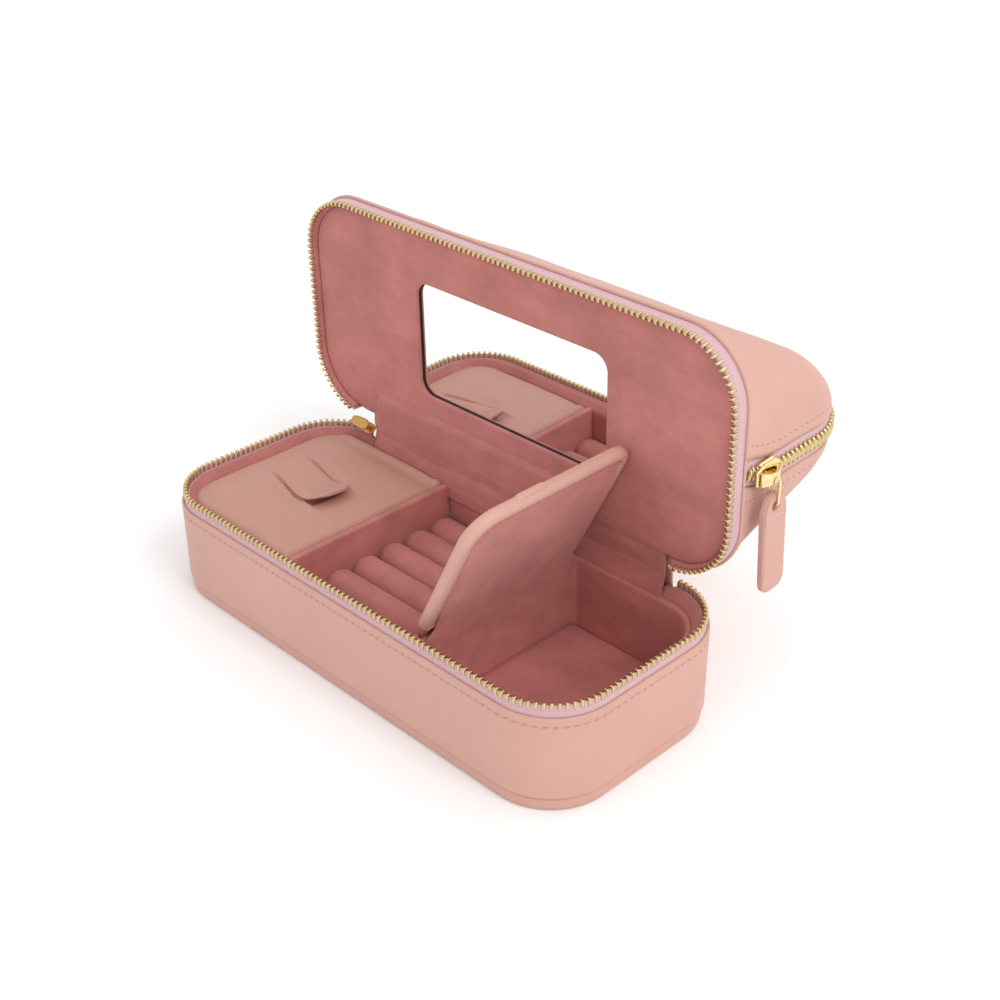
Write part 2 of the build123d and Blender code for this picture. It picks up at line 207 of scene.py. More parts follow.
def rim_at(s):
    """The zip line at distance s from the middle of the back, going left: x, y and the outward normal."""
    s = s % PERIMETER
    runs = [(STRAIGHT_X, None), (ARC, (-1, 1)), (2 * STRAIGHT_Y, None), (ARC, (-1, -1)),
            (2 * STRAIGHT_X, None), (ARC, (1, -1)), (2 * STRAIGHT_Y, None), (ARC, (1, 1)),
            (STRAIGHT_X, None)]
    x, y, heading = 0.0, ZIP_WIDTH / 2, math.pi
    for length, corner in runs:
        part = min(s, length)
        if corner is None:
            x, y = x + part * math.cos(heading), y + part * math.sin(heading)
        else:
            heading += part / ZIP_CORNER
            x = corner[0] * STRAIGHT_X + ZIP_CORNER * math.cos(heading - math.pi / 2)
            y = corner[1] * STRAIGHT_Y + ZIP_CORNER * math.sin(heading - math.pi / 2)
        s -= part
        if s <= 1e-9:
            break
    return x, y, math.cos(heading - math.pi / 2), math.sin(heading - math.pi / 2)


def rim_point(s, out, z):
    x, y, nx, ny = rim_at(s)
    return x + nx * out, y + ny * out, z


def rim_places(step, start=0.0, end=PERIMETER, closed=True):
    count = max(2, round((end - start) / step))
    return [start + (end - start) * i / count for i in range(count if closed else count + 1)]


LOOP = rim_places(2.0)
ZIP_RUN = rim_places(2.0, ZIP_START, ZIP_END, closed=False)


def rim_sweep(name, profile, places=LOOP, place=stay):
    """Sweeps a closed profile of (out, z) points along the zip line. A function of s may give it."""
    shapes = [profile(s) if callable(profile) else profile for s in places]
    rows = [[place(rim_point(s, out, z)) for out, z in shape] for s, shape in zip(places, shapes)]
    us = [*places, places[-1] + (places[1] - places[0])]
    closed = places is LOOP
    return mesh(name, *grid(rows, closed, True, us, lengths(shapes[0]), not closed))


# ---------------------------------------------------------------- many small pieces in one mesh
def scattered(name, points, faces, frames):
    """Copies of one small form, each at (origin, x axis, y axis, z axis)."""
    all_points, all_faces = [], []
    for origin, ax, ay, az in frames:
        start = len(all_points)
        for p in points:
            all_points.append(tuple(origin[k] + p[0] * ax[k] + p[1] * ay[k] + p[2] * az[k] for k in range(3)))
        all_faces += [tuple(start + v for v in f) for f in faces]
    return mesh(name, all_points, all_faces)


def tooth_form(outline, length, middle, ends):
    """A metal tooth along X from its outline in Y and Z, drawn in at its ends towards its middle."""
    rows = [[(along * length, y * scale, middle + (z - middle) * scale) for y, z in outline]
            for along, scale in ends]
    return grid(rows, False, True, caps=True)[:2]


def rim_tooth():
    """One tooth of the rim's zip: X along the chain, Y across the tape, Z from its grip to its head."""
    half, grip, top = TOOTH_HALF, 1.05, 1.2
    outline = filleted([(-half, -grip, 0.25), (half, -grip, 0.25), (half, 0.1 * top, 0.3),
                        (0.62, top, 0.35), (-0.62, top, 0.35), (-half, 0.1 * top, 0.3)], steps=3)
    ends = ((-0.5, 0.82), (-0.4, 1.0), (0.4, 1.0), (0.5, 0.82))
    return tooth_form(outline, TOOTH_LONG, (top - grip) / 2, ends)


def stitch_form():
    """One stitch along X, its ends dipping into the leather below (Z down is inwards)."""
    rows = []
    for i in range(7):
        t = i / 6 * 2 - 1
        r = STITCH_R * math.sqrt(max(0.05, 1 - abs(t) ** 4))
        dip = -0.42 * t ** 4
        rows.append([(t * STITCH_LONG / 2, r * math.cos(a), dip + r * math.sin(a))
                     for a in (math.tau * k / 6 for k in range(6))])
    return grid(rows, False, True, caps=True)[:2]


def rim_frames(out, z, pitch, start, end, facing, place=stay):
    """Frames along the zip line; facing is "up" or "down" for teeth, and "out" for the wall's stitches."""
    frames = []
    for s in rim_places(pitch, start, end, closed=False)[:-1]:
        s += pitch / 2
        (x0, y0, _, _), (x1, y1, _, _) = rim_at(s - 0.2), rim_at(s + 0.2)
        x, y, nx, ny = rim_at(s)
        p = (x + nx * out, y + ny * out, z)
        up, side, along = (Vector(place((p[0] + a, p[1] + b, z + c))) - Vector(place(p))
                           for a, b, c in ((0, 0, 1), (nx, ny, 0), (x1 - x0, y1 - y0, 0)))
        along.normalize()
        axes = {"up": (side, up), "down": (side, -up), "out": (up, side)}[facing]
        frames.append((place(p), along, *axes))
    return frames


# ================================================================ materials
class Finish:
    """A new material: its methods add nodes to it, and wire them to its shader."""

    def __init__(self, name, coords="Object"):
        self.material = bpy.data.materials.new(name)
        self.material.use_nodes = True
        self.tree = self.material.node_tree
        self.shader = self.tree.nodes["Principled BSDF"].inputs
        self.coords = self.node("ShaderNodeTexCoord").outputs[coords]

    def node(self, kind, **settings):
        made = self.tree.nodes.new(kind)
        for key, value in settings.items():
            if key in made.inputs:
                made.inputs[key].default_value = value
            else:
                setattr(made, key, value)
        return made

    def wire(self, output, target):
        """Joins an output to a node's input, or to the shader's input of that name."""
        self.tree.links.new(output, self.shader[target] if isinstance(target, str) else target)

    def fixed(self, **values):
        for key, value in values.items():
            self.shader[key.replace("_", " ")].default_value = value
        return self.material

    def noise(self, scale, detail=3.0, roughness=0.55, stretch=None):
        texture = self.node("ShaderNodeTexNoise", Scale=scale, Detail=detail, Roughness=roughness)
        coords = self.coords
        if stretch:
            mapping = self.node("ShaderNodeMapping", Scale=stretch)
            self.wire(coords, mapping.inputs["Vector"])
            coords = mapping.outputs["Vector"]
        self.wire(coords, texture.inputs["Vector"])
        return texture.outputs["Fac"]

    def ramp(self, value, *stops):
        """Colours at places from 0 to 1; one number stands for a grey."""
        made = self.node("ShaderNodeValToRGB")
        elements = made.color_ramp.elements
        while len(elements) < len(stops):
            elements.new(0.5)
        for element, (place, colour) in zip(elements, stops):
            element.position = place
            element.color = (*(colour if isinstance(colour, tuple) else (colour,) * 3), 1)
        self.wire(value, made.inputs["Fac"])
        return made.outputs["Color"]

    def mixed(self, a, b, share, mode):
        made = self.node("ShaderNodeMix", data_type="RGBA", blend_type=mode)
        made.inputs["Factor"].default_value = share
        self.wire(a, made.inputs["A"])
        self.wire(b, made.inputs["B"])
        return made.outputs["Result"]

    def bump(self, height, distance, strength=1.0, before=None):
        made = self.node("ShaderNodeBump", Distance=distance * MM, Strength=strength)
        self.wire(height, made.inputs["Height"])
        if before:
            self.wire(before, made.inputs["Normal"])
        return made.outputs["Normal"]


def shade(colour, factor):
    return tuple(min(1.0, c * factor) for c in colour)


def leather(name, colour, rough=0.5, grain=0.06, variation=0.03):
    """Smooth leatherette: a fine pebble, soft waves under it and a faint change of tone."""
    finish = Finish(name)
    dark, light = shade(colour, 1 - variation), shade(colour, 1 + variation)
    finish.wire(finish.ramp(finish.noise(38, 4), (0.3, dark), (0.7, light)), "Base Color")
    cells = finish.node("ShaderNodeTexVoronoi", feature="SMOOTH_F1", Scale=1500.0, Smoothness=0.6)
    finish.wire(finish.coords, cells.inputs["Vector"])
    waves = finish.bump(finish.noise(160, 2), 0.25, 0.35)
    finish.wire(finish.bump(cells.outputs["Distance"], grain, 0.55, waves), "Normal")
    worn = finish.ramp(finish.noise(120, 5), (0.3, rough - 0.07), (0.7, rough + 0.09))
    finish.wire(worn, "Roughness")
    return finish.fixed(Specular_IOR_Level=0.4)


def suede(name, colour, depth=0.15):
    """Brushed suede: clouds of nap laid one way and another, over a fine fibre."""
    finish = Finish(name)
    dark, light = shade(colour, 1 - depth), shade(colour, 1 + depth)
    tone = finish.ramp(finish.noise(42, 6, 0.66), (0.28, dark), (0.5, colour), (0.74, light))
    brushed = finish.ramp(finish.noise(85, 4, 0.6, stretch=(0.6, 1.2, 1.6)), (0.35, 0.42), (0.65, 0.58))
    fibre = finish.noise(2600, 2)
    flecks = finish.ramp(fibre, (0.3, 0.44), (0.7, 0.56))
    tone = finish.mixed(tone, brushed, 0.5, "OVERLAY")
    finish.wire(finish.mixed(tone, flecks, 0.6, "OVERLAY"), "Base Color")
    normal = finish.bump(fibre, 0.12, 0.7)
    finish.wire(finish.bump(finish.noise(130, 3), 0.3, 0.35, normal), "Normal")
    return finish.fixed(Roughness=0.93, Specular_IOR_Level=0.2, Sheen_Weight=0.3, Sheen_Roughness=0.45,
                        Sheen_Tint=(1.0, 0.75, 0.72, 1))


def woven(name, colour, pitch=0.55):
    """A woven tape: rows of small ribs along and across, from the mesh's own measures."""
    finish = Finish(name, "UV")
    ribs = []
    for direction, size in (("X", pitch), ("Y", pitch * 1.5)):
        wave = finish.node("ShaderNodeTexWave", wave_type="BANDS", bands_direction=direction,
                           wave_profile="SIN", Scale=math.pi / (10 * size), Distortion=0.4)
        finish.wire(finish.coords, wave.inputs["Vector"])
        ribs.append(wave.outputs["Color"])
    weave = finish.mixed(*ribs, 1.0, "MULTIPLY")
    finish.wire(finish.ramp(weave, (0.0, shade(colour, 0.82)), (0.8, shade(colour, 1.06))), "Base Color")
    finish.wire(finish.bump(weave, 0.12, 0.8), "Normal")
    return finish.fixed(Roughness=0.8, Sheen_Weight=0.25)


def metal(name, colour, rough):
    """Plated brass with a little wear and very fine marks."""
    finish = Finish(name)
    wear = finish.noise(300, 4)
    finish.wire(finish.ramp(wear, (0.3, shade(colour, 0.9)), (0.7, shade(colour, 1.05))), "Base Color")
    finish.wire(finish.ramp(wear, (0.3, rough * 0.8), (0.75, rough * 1.5)), "Roughness")
    finish.wire(finish.bump(finish.noise(900, 3, 0.6, stretch=(1, 1, 5)), 0.02, 0.3), "Normal")
    return finish.fixed(Metallic=1.0)


def mirror_finish(name):
    finish = Finish(name)
    finish.wire(finish.ramp(finish.noise(900, 4), (0.5, 0.004), (0.9, 0.02)), "Roughness")
    return finish.fixed(Base_Color=(0.93, 0.94, 0.94, 1), Metallic=1.0)


def plain_board(name, colour):
    finish = Finish(name)
    pulp = finish.noise(700, 5)
    finish.wire(finish.ramp(pulp, (0.3, shade(colour, 0.85)), (0.7, colour)), "Base Color")
    finish.wire(finish.bump(pulp, 0.1, 0.5), "Normal")
    return finish.fixed(Roughness=0.9)


def floor_paper():
    finish = Finish("floor_pale")
    finish.wire(finish.ramp(finish.noise(3, 2), (0.3, 0.96), (0.7, 0.98)), "Base Color")
    return finish.fixed(Roughness=0.9, Specular_IOR_Level=0.1)


PINK = (0.61, 0.345, 0.282)
DUSK = (0.53, 0.285, 0.225)
ROSE = (0.51, 0.195, 0.175)
LILAC = (0.72, 0.455, 0.49)
LEATHER = leather("leather_pink", PINK)
PAD_LEATHER = leather("leather_dusk", DUSK, 0.55, 0.05)
SUEDE = suede("suede_rose", ROSE)
TAPE = woven("tape_lilac", LILAC)
PIPING = woven("piping_pink", (0.62, 0.33, 0.31), 0.4)
LINING = woven("lining_rose", (0.45, 0.24, 0.22), 0.35)
THREAD = woven("thread_pink", shade(PINK, 1.03), 0.3)
THREAD_DARK = woven("thread_dark", shade(PINK, 0.5), 0.3)
THREAD_PALE = woven("thread_pale", (0.86, 0.68, 0.62), 0.3)
TEETH = metal("teeth_brass", (0.68, 0.53, 0.28), 0.28)
# Near black for the window's lip: painted shade of the recess, darker than the card itself.
WINDOW_PAINTED_SHADE = plain_board("window_painted_shade", (0.035, 0.016, 0.014))
GOLD = metal("gold_plate", (0.9, 0.71, 0.38), 0.17)
# Slider 1's gold, darker and browner than GOLD: painted shade of the shadow it sits in, the plating being the
# same.
GOLD_PAINTED_SHADE = metal("gold_plate_painted_shade", (0.62, 0.36, 0.13), 0.3)
MIRROR = mirror_finish("mirror_silver")
BOARD = plain_board("board_grey", (0.35, 0.28, 0.24))
FOAM = plain_board("foam_rose", shade(ROSE, 0.8))


def dress(obj, material, slot, body, *nodes):
    """Gives a piece its material and body, and hides the CAD nodes that it stands for."""
    obj.data.materials.append(material)
    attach(obj, body)
    if nodes:
        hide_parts(*nodes)
    return obj


def carry(material, *names):
    """CAD nodes whose shape is right keep it and take a finish."""
    for name in names:
        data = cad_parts[name].data
        data.materials.clear()
        data.materials.append(material)


# ================================================================ tray
def plinth():
    levels = [(-0.9, 0.0), (-0.2, 0.05), (0.35, 0.35), (0.72, 0.9), (PLINTH_OUT, 1.7), (PLINTH_OUT, 3.9),
              (0.68, 4.45), (0.35, 4.75), (-0.5, PLINTH_Z)]
    rows = [[rim_point(s, out, z) for s in LOOP] for out, z in levels]
    return dress(rings("plinth", rows), LEATHER, "leather", "tray", "base_plinth")


def wall_leather():
    """The outer wall: turned under at the plinth and in at the zip, with a stitched groove."""
    top, outer, groove = LEATHER_TOP_Z, LEATHER_OUT, STITCH_Z
    profile = filleted([(LEATHER_IN, 4.95, 0.2), (1.25, 4.95, 0.4), (outer, 5.7, 0.6), (outer - 0.05, 18, 4),
                        (outer, groove - 0.8, 0.4), (outer - 0.22, groove, 0.4),
                        (outer + 0.05, groove + 0.8, 0.5), (outer + 0.02, top - 0.1, 0.6),
                        (LEATHER_IN, top + 0.05, 0.3)])
    return dress(rim_sweep("wall_leather", profile), LEATHER, "leather", "tray", "tray_leather")


def wall_stitches():
    frames = rim_frames(LEATHER_OUT - 0.1, STITCH_Z, STITCH_PITCH, 0, PERIMETER, "out")
    return dress(scattered("wall_stitches", *stitch_form(), frames), THREAD, "leather", "tray")


def rim_tape():
    """The zip's tape, from under the leather's edge into the teeth."""
    profile = filleted([(0.62, 32.5, 0), (0.60, 34.6, 1), (0.5, 36.2, 1), (0.42, 38.2, 0.2),
                        (-0.42, 38.2, 0.2), (-0.5, 36.2, 1), (-0.55, 32.5, 0)], steps=3)
    return dress(rim_sweep("rim_tape", profile, ZIP_RUN), TAPE, "zip_tape", "tray", "tray_tape")


def rim_teeth():
    frames = rim_frames(0, TOOTH_Z, PITCH, ZIP_START, ZIP_END, "up")
    return dress(scattered("rim_teeth", *rim_tooth(), frames), TEETH, "zip_metal", "tray", "tray_teeth")


def hinge_share(s):
    """1 along the back, where the hinge strip covers the wall's top, and 0 elsewhere."""
    s = s % PERIMETER
    left, right = 65.0 - s, s - (PERIMETER - 70.0)
    return smooth_step(max(left, right) / 4)


def tray_lining():
    """The wall's suede: it slopes up from the compartments to the tape, and lies low at the hinge."""
    def profile(s):
        wave = 0.15 * noise.noise(Vector((s / 14, 3.1, 0)))
        low = 3.0 * hinge_share(s)
        return filleted([(-0.7, 30.0, 0), (-0.7, 35.6 - low, 0.4), (-1.5, 36.5 + wave - low, 0.7),
                         (-2.4, 35.7 + wave - low, 1.2), (-3.9, 33.7 + wave - 0.4 * low, 1.2),
                         (-4.25, 32.4, 1.0), (-4.2, 26, 4), (-4.2, 5.7, 0.4), (-2.4, 5.7, 0.3),
                         (-2.4, 28, 2)], steps=3)
    return dress(rim_sweep("tray_suede", profile), SUEDE, "suede", "tray", "tray_lining")


def rim_piping():
    """A light cord between the tape and the suede."""
    r = 0.48
    around = (math.tau * k / 8 for k in range(8))
    profile = [(-0.95 + r * math.cos(a), 36.3 + r * math.sin(a)) for a in around]
    return dress(rim_sweep("rim_piping", profile, ZIP_RUN), PIPING, "rim_lining", "tray", "lining_rim")


# ---------------------------------------------------------------- rounded rectangles and plates
def plate_ring(x0, x1, y0, y1, radii, corner=8, long=40, short=20):
    """Points round a rounded rectangle with their outward normals, always as many of them."""
    ring = []
    corners = [(x1, y1, 0, 1, 1), (x0, y1, 90, -1, 1), (x0, y0, 180, -1, -1), (x1, y0, 270, 1, -1)]
    for i, (cx, cy, angle, sx, sy) in enumerate(corners):
        r = radii[i]
        for k in range(corner + 1):
            a = math.radians(angle + 90 * k / corner)
            across, up = math.cos(a), math.sin(a)
            ring.append((cx - sx * r + r * across, cy - sy * r + r * up, across, up))
        nx, ny, _, tx, ty = corners[(i + 1) % 4]
        q = radii[(i + 1) % 4]
        a = math.radians(angle + 90)
        end = (nx - tx * q + q * math.cos(a), ny - ty * q + q * math.sin(a))
        start, count = ring[-1], long if i % 2 == 0 else short
        for k in range(1, count):
            t = k / count
            ring.append((start[0] + (end[0] - start[0]) * t, start[1] + (end[1] - start[1]) * t,
                         math.cos(a), math.sin(a)))
    return ring


def offset_ring(ring, out, z):
    """The ring moved out or in; moved in past a corner's round, its points stop at that corner."""
    x0, x1 = min(p[0] for p in ring) - out, max(p[0] for p in ring) + out
    y0, y1 = min(p[1] for p in ring) - out, max(p[1] for p in ring) + out
    return [(min(max(x + nx * out, x0), x1), min(max(y + ny * out, y0), y1), z)
            for x, y, nx, ny in ring]


def cushion(name, ring, edge, inside, place=stay, relief=None):
    """A crowned closed form: edge lists (out, z) from the underside up, inside (scale, z) to the middle."""
    cx = sum(p[0] for p in ring) / len(ring)
    cy = sum(p[1] for p in ring) / len(ring)
    rows = [offset_ring(ring, out, z) for out, z in edge]
    last = rows[-1]
    rows += [[(cx + (x - cx) * scale, cy + (y - cy) * scale, z) for x, y, _ in last] for scale, z in inside]
    if relief:
        rows[2:] = [[(x, y, z + relief(x, y)) for x, y, z in row] for row in rows[2:]]
    return rings(name, [[place(p) for p in row] for row in rows])


def holed(name, outer, inner, profile, place=stay, relief=None):
    """A plate with a hole: profile lists (share of the way to the hole, out, z), and closes on itself."""
    rows = []
    for t, out, z in profile:
        row = []
        for (x0, y0, nx, ny), (x1, y1, mx, my) in zip(outer, inner):
            gx, gy = (nx, ny) if t < 0.5 else (mx, my)
            x, y = x0 + (x1 - x0) * t + gx * out, y0 + (y1 - y0) * t + gy * out
            row.append(place((x, y, z + (relief(x, y) if relief and 0 < t < 1 else 0))))
        rows.append(row)
    return mesh(name, *grid(rows, True, True))


def tube(name, path, radius, up):
    """A round wire along a closed path."""
    rows, n, up = [], len(path), Vector(up)
    for i, p in enumerate(path):
        along = (Vector(path[(i + 1) % n]) - Vector(path[i - 1])).normalized()
        side = along.cross(up)
        side = side.normalized() if side.length > 0.05 else along.orthogonal().normalized()
        other = side.cross(along)
        rows.append([tuple(Vector(p) + (side * math.cos(a) + other * math.sin(a)) * radius)
                     for a in (math.tau * k / 10 for k in range(10))])
    return mesh(name, *grid(rows, True, True))


def stitch_line(name, path, normals, pitch, long_share=0.7, lift=-0.12):
    """Stitches of one pitch along a path that lies on a surface with those normals."""
    frames, left = [], pitch / 2
    for i in range(len(path) - 1):
        a, b = Vector(path[i]), Vector(path[i + 1])
        length = (b - a).length
        while left < length:
            t = left / length
            normal = Vector(normals[i]).lerp(Vector(normals[i + 1]), t).normalized()
            here = a.lerp(b, t) + normal * lift
            along = (b - a).normalized()
            frames.append((here, along * (pitch * long_share / STITCH_LONG), normal.cross(along), normal))
            left += pitch
        left -= length
    return scattered(name, *stitch_form(), frames)


# ================================================================ inside the tray
LEFT_X = -30.5
RIGHT_X = 29.9
DIVIDER = 2.4
ROLL_PITCH = 11.9
ROLL_FLAT = 5.88
ROLL_Z = 17.8


def floor():
    ring = plate_ring(-90.6, 90.6, -35.6, 35.6, [16.6] * 4)
    low = [(-0.1, 4.85), (0.05, 5.2), (-0.2, 5.55)]
    inside = [(s, 5.62) for s in (0.97, 0.9, 0.8, 0.65, 0.5, 0.35, 0.2, 0.1)]
    plate = cushion("floor_suede_sheet", ring, low, inside, relief=lambda x, y: 0.08 * ripple(x, y, 14, 2))
    return dress(plate, SUEDE, "suede", "tray", "floor_suede")


def compartment(name, x0, x1, radii, top, cad):
    """A compartment's lined card wall: soft inner corners, and a rounded ledge at the top."""
    ring = plate_ring(x0, x1, -34.2, 34.2, radii)
    levels = [(1.45, 5.75), (0.0, 5.75), (-0.15, 6.2), (0.0, 7.6), (-0.1, 14), (0.0, 22), (-0.05, top - 1.6),
              (0.05, top - 0.6), (0.35, top - 0.15), (0.85, top + 0.1), (1.7, top + 0.35), (1.6, top - 2)]
    rows = []
    for out, z in levels:
        row = offset_ring(ring, out, z)
        rows.append([(x, y, z + 0.12 * ripple(x, y, 12, 5)) if z > 20 else (x, y, z) for x, y, z in row])
    wall = mesh(name, *grid(rows, True, True))
    return dress(wall, SUEDE, "suede", "tray", cad)


def divider(name, x, top, cad):
    """A card wall covered in suede, with a rounded top and a hint of glue waves."""
    far = x + DIVIDER
    outline = filleted([(x, 5.7, 0.2), (far, 5.7, 0.2), (far, top, 1.1), (x, top, 1.1)], steps=5)
    rows = []
    for k in range(49):
        y = -35.6 + 71.2 * k / 48
        rows.append([(px + 0.1 * ripple(y, pz, 15, x), y, pz + (0.12 * ripple(y, 0, 17, x) if pz > 20 else 0))
                     for px, pz in outline])
    return dress(rings(name, rows), SUEDE, "suede", "tray", cad)


def ring_roll(number):
    """A stuffed roll, tucked in at its ends and pressed flat against the next one."""
    x0, x1, y0 = -28.0, 29.8, (number - 2.5) * ROLL_PITCH
    rows = []
    for i in range(45):
        x = x0 + (x1 - x0) * (i / 44)
        end = min(x - x0, x1 - x)
        r = ROLL_PITCH / 2 - 1.5 * (1 - smooth_step(end / 3.2)) ** 2 + 0.12 * ripple(x, y0, 10, number)
        ring = []
        for a in (math.tau * k / 32 for k in range(32)):
            wob = 0.1 * noise.noise(Vector((x / 6, math.cos(a) * 2 + number * 5, math.sin(a) * 2)))
            y = max(-ROLL_FLAT, min(ROLL_FLAT, (r + wob) * math.cos(a)))
            ring.append((x, y0 + y, ROLL_Z + (r + wob) * math.sin(a)))
        rows.append(ring)
    roll = rings(f"ring_roll_{number + 1}_soft", rows)
    return dress(roll, SUEDE, "suede", "tray", f"ring_roll_{number + 1}")


def hinge_share_x(x):
    """1 where the hinge's suede runs up over the lid's face, 0 where it ends under the lid's edge."""
    return smooth_step((30 - x) / 9) * smooth_step((x + 68.5) / 6)


def hinge_front(x, z):
    """How far back the hinge's suede lies: before the tray's lining, and over the lid's face."""
    over = hinge_share_x(x)
    crease = 0.34 * ripple(x, z * 2.2, 15, 4) + 0.22 * bell(z - 41 - 2.4 * ripple(x, 0, 24, 8), 1.3)
    crease -= 0.16 * bell(z - 45.5 - 2.2 * ripple(x, 5, 19, 2), 1.6)
    crease *= smooth_step((z - 34) / 4) * smooth_step((51 - z) / 6)
    low, share = smooth_step((z - 31) / 3), smooth_step((z - 43) / 7)
    face = 35.33 + (z - 49.4) * 0.0227 + 0.6 * smooth_step((z - 55.5) / 3)
    shown = (35.72 * (1 - low) + 35.6 * low) * (1 - share) + face * share
    hidden = 35.75 + 1.3 * smooth_step((z - 32) / 9)
    return shown * over + hidden * (1 - over) + crease


HINGE_LINING_LEFT = -68.2
HINGE_LINING_LONG = 138.2
HINGE_LINING_LOW = 29.5


def hinge_lining():
    """The suede that runs from inside the tray up over the lid's lower edge, faintly creased."""
    rows = []
    for i in range(136):
        x = HINGE_LINING_LEFT + HINGE_LINING_LONG * i / 135
        top = 49.0 + 9.5 * hinge_share_x(x)
        levels = (HINGE_LINING_LOW + (top - HINGE_LINING_LOW) * k / 56 for k in range(57))
        rows.append([(x, hinge_front(x, z), z) for z in levels])
    return solid(mesh("hinge_lining", *grid(rows)), 0.8)


def hinge_strip():
    """The outer leather hinge, from the wall's seam up to the lid's."""
    rows = []
    for i in range(70):
        x = -65 + 135 * i / 69
        rows.append([(x, 41.45 - 0.5 * math.sin(math.pi * k / 14) + 0.1 * ripple(x, k, 8, 1),
                      LEATHER_TOP_Z - 0.1 + 11.2 * k / 14) for k in range(15)])
    return solid(mesh("hinge_outside", *grid(rows)), 0.9)


def bend_hinges():
    """The two hinge strips, drawn with the lid open: their modifiers made part of their meshes, their
    finishes given, their CAD nodes hidden.
    """
    for strip, y, flat, material, slot, cad in (
            (hinge_lining(), 0.0366, (0.1382, 0.0262), SUEDE, "suede", "hinge_suede"),
            (hinge_strip(), 0.0411, (0.135, 0.0112), LEATHER, "leather", "hinge_leather")):
        settle(strip)
        strip.data.materials.append(material)
        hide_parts(cad)
        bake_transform(strip)


# ================================================================ pad
PAD_LOW_X = -90.9
PAD_HIGH_X = -31.0
PAD_HALF = 35.5
PAD_CORNER = 12.5
TONGUE = (-8.7, 7.4)
TONGUE_ROOT = -79.0
TONGUE_END = -56.0


def skew(x):
    """The tongue is cut a little askew."""
    return 0.26 * max(0, -59 - x)


def pad_left(y):
    """Where the pad begins at y: its two outer corners follow the tray's."""
    over = abs(y) - (PAD_HALF - PAD_CORNER)
    return PAD_LOW_X + (PAD_CORNER - math.sqrt(max(0, PAD_CORNER ** 2 - over ** 2)) if over > 0 else 0)


def pad_height(x, y):
    """The top of the pad: crowned, beaded along its edges, and cut by two slits beside the tongue."""
    u = (x - PAD_LOW_X) / (PAD_HIGH_X - PAD_LOW_X)
    v = (y + PAD_HALF) / (2 * PAD_HALF)
    crown = (4 * max(0, u * (1 - u))) ** 0.5 * (4 * max(0, v * (1 - v))) ** 0.5
    z = 34.5 + 1.35 * crown + 0.16 * ripple(x, y, 16, 7)
    back, right = PAD_HALF - y, PAD_HIGH_X - x
    z += 0.8 * bell(back - 1.7, 1.2) - 0.55 * bell(back - 5.5, 2.6) * smooth_step((x + 88) / 20)
    z += 0.5 * bell(right - 1.6, 1.1) - 0.3 * bell(right - 5.0, 2.4)
    for edge, out in ((TONGUE[0], -1), (TONGUE[1], 1)):
        along = smooth_step((x - TONGUE_ROOT + 1) / 4) * smooth_step((TONGUE_END + 2.5 - x) / 2.5)
        deep = 0.6 + 0.4 * smooth_step((x - TONGUE_ROOT) / 10)
        off = y - skew(x) - edge
        z -= 2.4 * deep * along * bell(off, 0.5)
        z -= 0.9 * along * deep * bell(off - out * 2.2, 2.2) * smooth_step((x - TONGUE_ROOT - 8) / 12)
    across = smooth_step((y - TONGUE[0] + 1) / 1.5) * smooth_step((TONGUE[1] + 1 - y) / 1.5)
    z -= 2.6 * across * bell(x + 53.5, 2.4) + 0.8 * across * bell(x + 49, 4)
    return z


def spread(low, high, step, fine_at=(), fine_width=2.0, fine=0.35):
    """Places from low to high, step apart, and finer near the given places and at both ends."""
    out = [low]
    while out[-1] < high - 1e-6:
        here = out[-1]
        near = any(abs(here - f) < fine_width for f in fine_at)
        edge = min(here - low, high - here)
        size = fine if near else step
        if edge < 3.2:
            size = min(size, 0.3 + 0.2 * edge)
        out.append(min(high, here + size))
    return out


def pad():
    """The leather pad's cushion: a net over its plan, rolled down at the edges and closed below."""
    ys = spread(-PAD_HALF, PAD_HALF, 1.1, (-8.5, -6, -3.6, 7.5, 10, 12.6), 1.7)
    us = spread(0.0, PAD_HIGH_X - PAD_LOW_X, 1.1, (PAD_HIGH_X - PAD_LOW_X - 23.5,), 4.5, 0.6)
    us = [u / us[-1] for u in us]
    roll, rows = 2.6, []
    for y in ys:
        left, row = pad_left(y), []
        for u in us:
            x = left + (PAD_HIGH_X - left) * u
            over = abs(y) - (PAD_HALF - PAD_CORNER)
            corner = x < PAD_LOW_X + PAD_CORNER and over > 0
            if corner:
                edge = PAD_CORNER - math.hypot(x - PAD_LOW_X - PAD_CORNER, over)
            else:
                edge = min(x - PAD_LOW_X, PAD_HALF - abs(y))
            edge = min(max(0, edge), PAD_HIGH_X - x)
            drop = roll - math.sqrt(max(0, roll ** 2 - max(0, roll - edge) ** 2))
            row.append((x, y, pad_height(x, y) - drop))
        rows.append(row)
    points, faces, uvs = grid(rows)
    nu, nv = len(rows), len(rows[0])
    rim = ([(0, j) for j in range(nv)] + [(i, nv - 1) for i in range(1, nu)]
           + [(nu - 1, j) for j in range(nv - 2, -1, -1)] + [(i, 0) for i in range(nu - 2, 0, -1)])
    top = [i * nv + j for i, j in rim]
    middle = (-60.0, 0.0)
    for low, draw in ((31.0, 1.0), (29.3, 0.992)):
        start = len(points)
        for i, j in rim:
            x, y, _ = rows[i][j]
            points.append((middle[0] + (x - middle[0]) * draw, middle[1] + (y - middle[1]) * draw, low))
        for k in range(len(rim)):
            m = (k + 1) % len(rim)
            faces.append((top[k], top[m], start + m, start + k))
        top = list(range(start, start + len(rim)))
    faces.append(tuple(top))
    cushion_top = mesh("pad_leather_cushion", points, faces)
    return dress(cushion_top, PAD_LEATHER, "pad_leather", "pad", "pad_cushion")


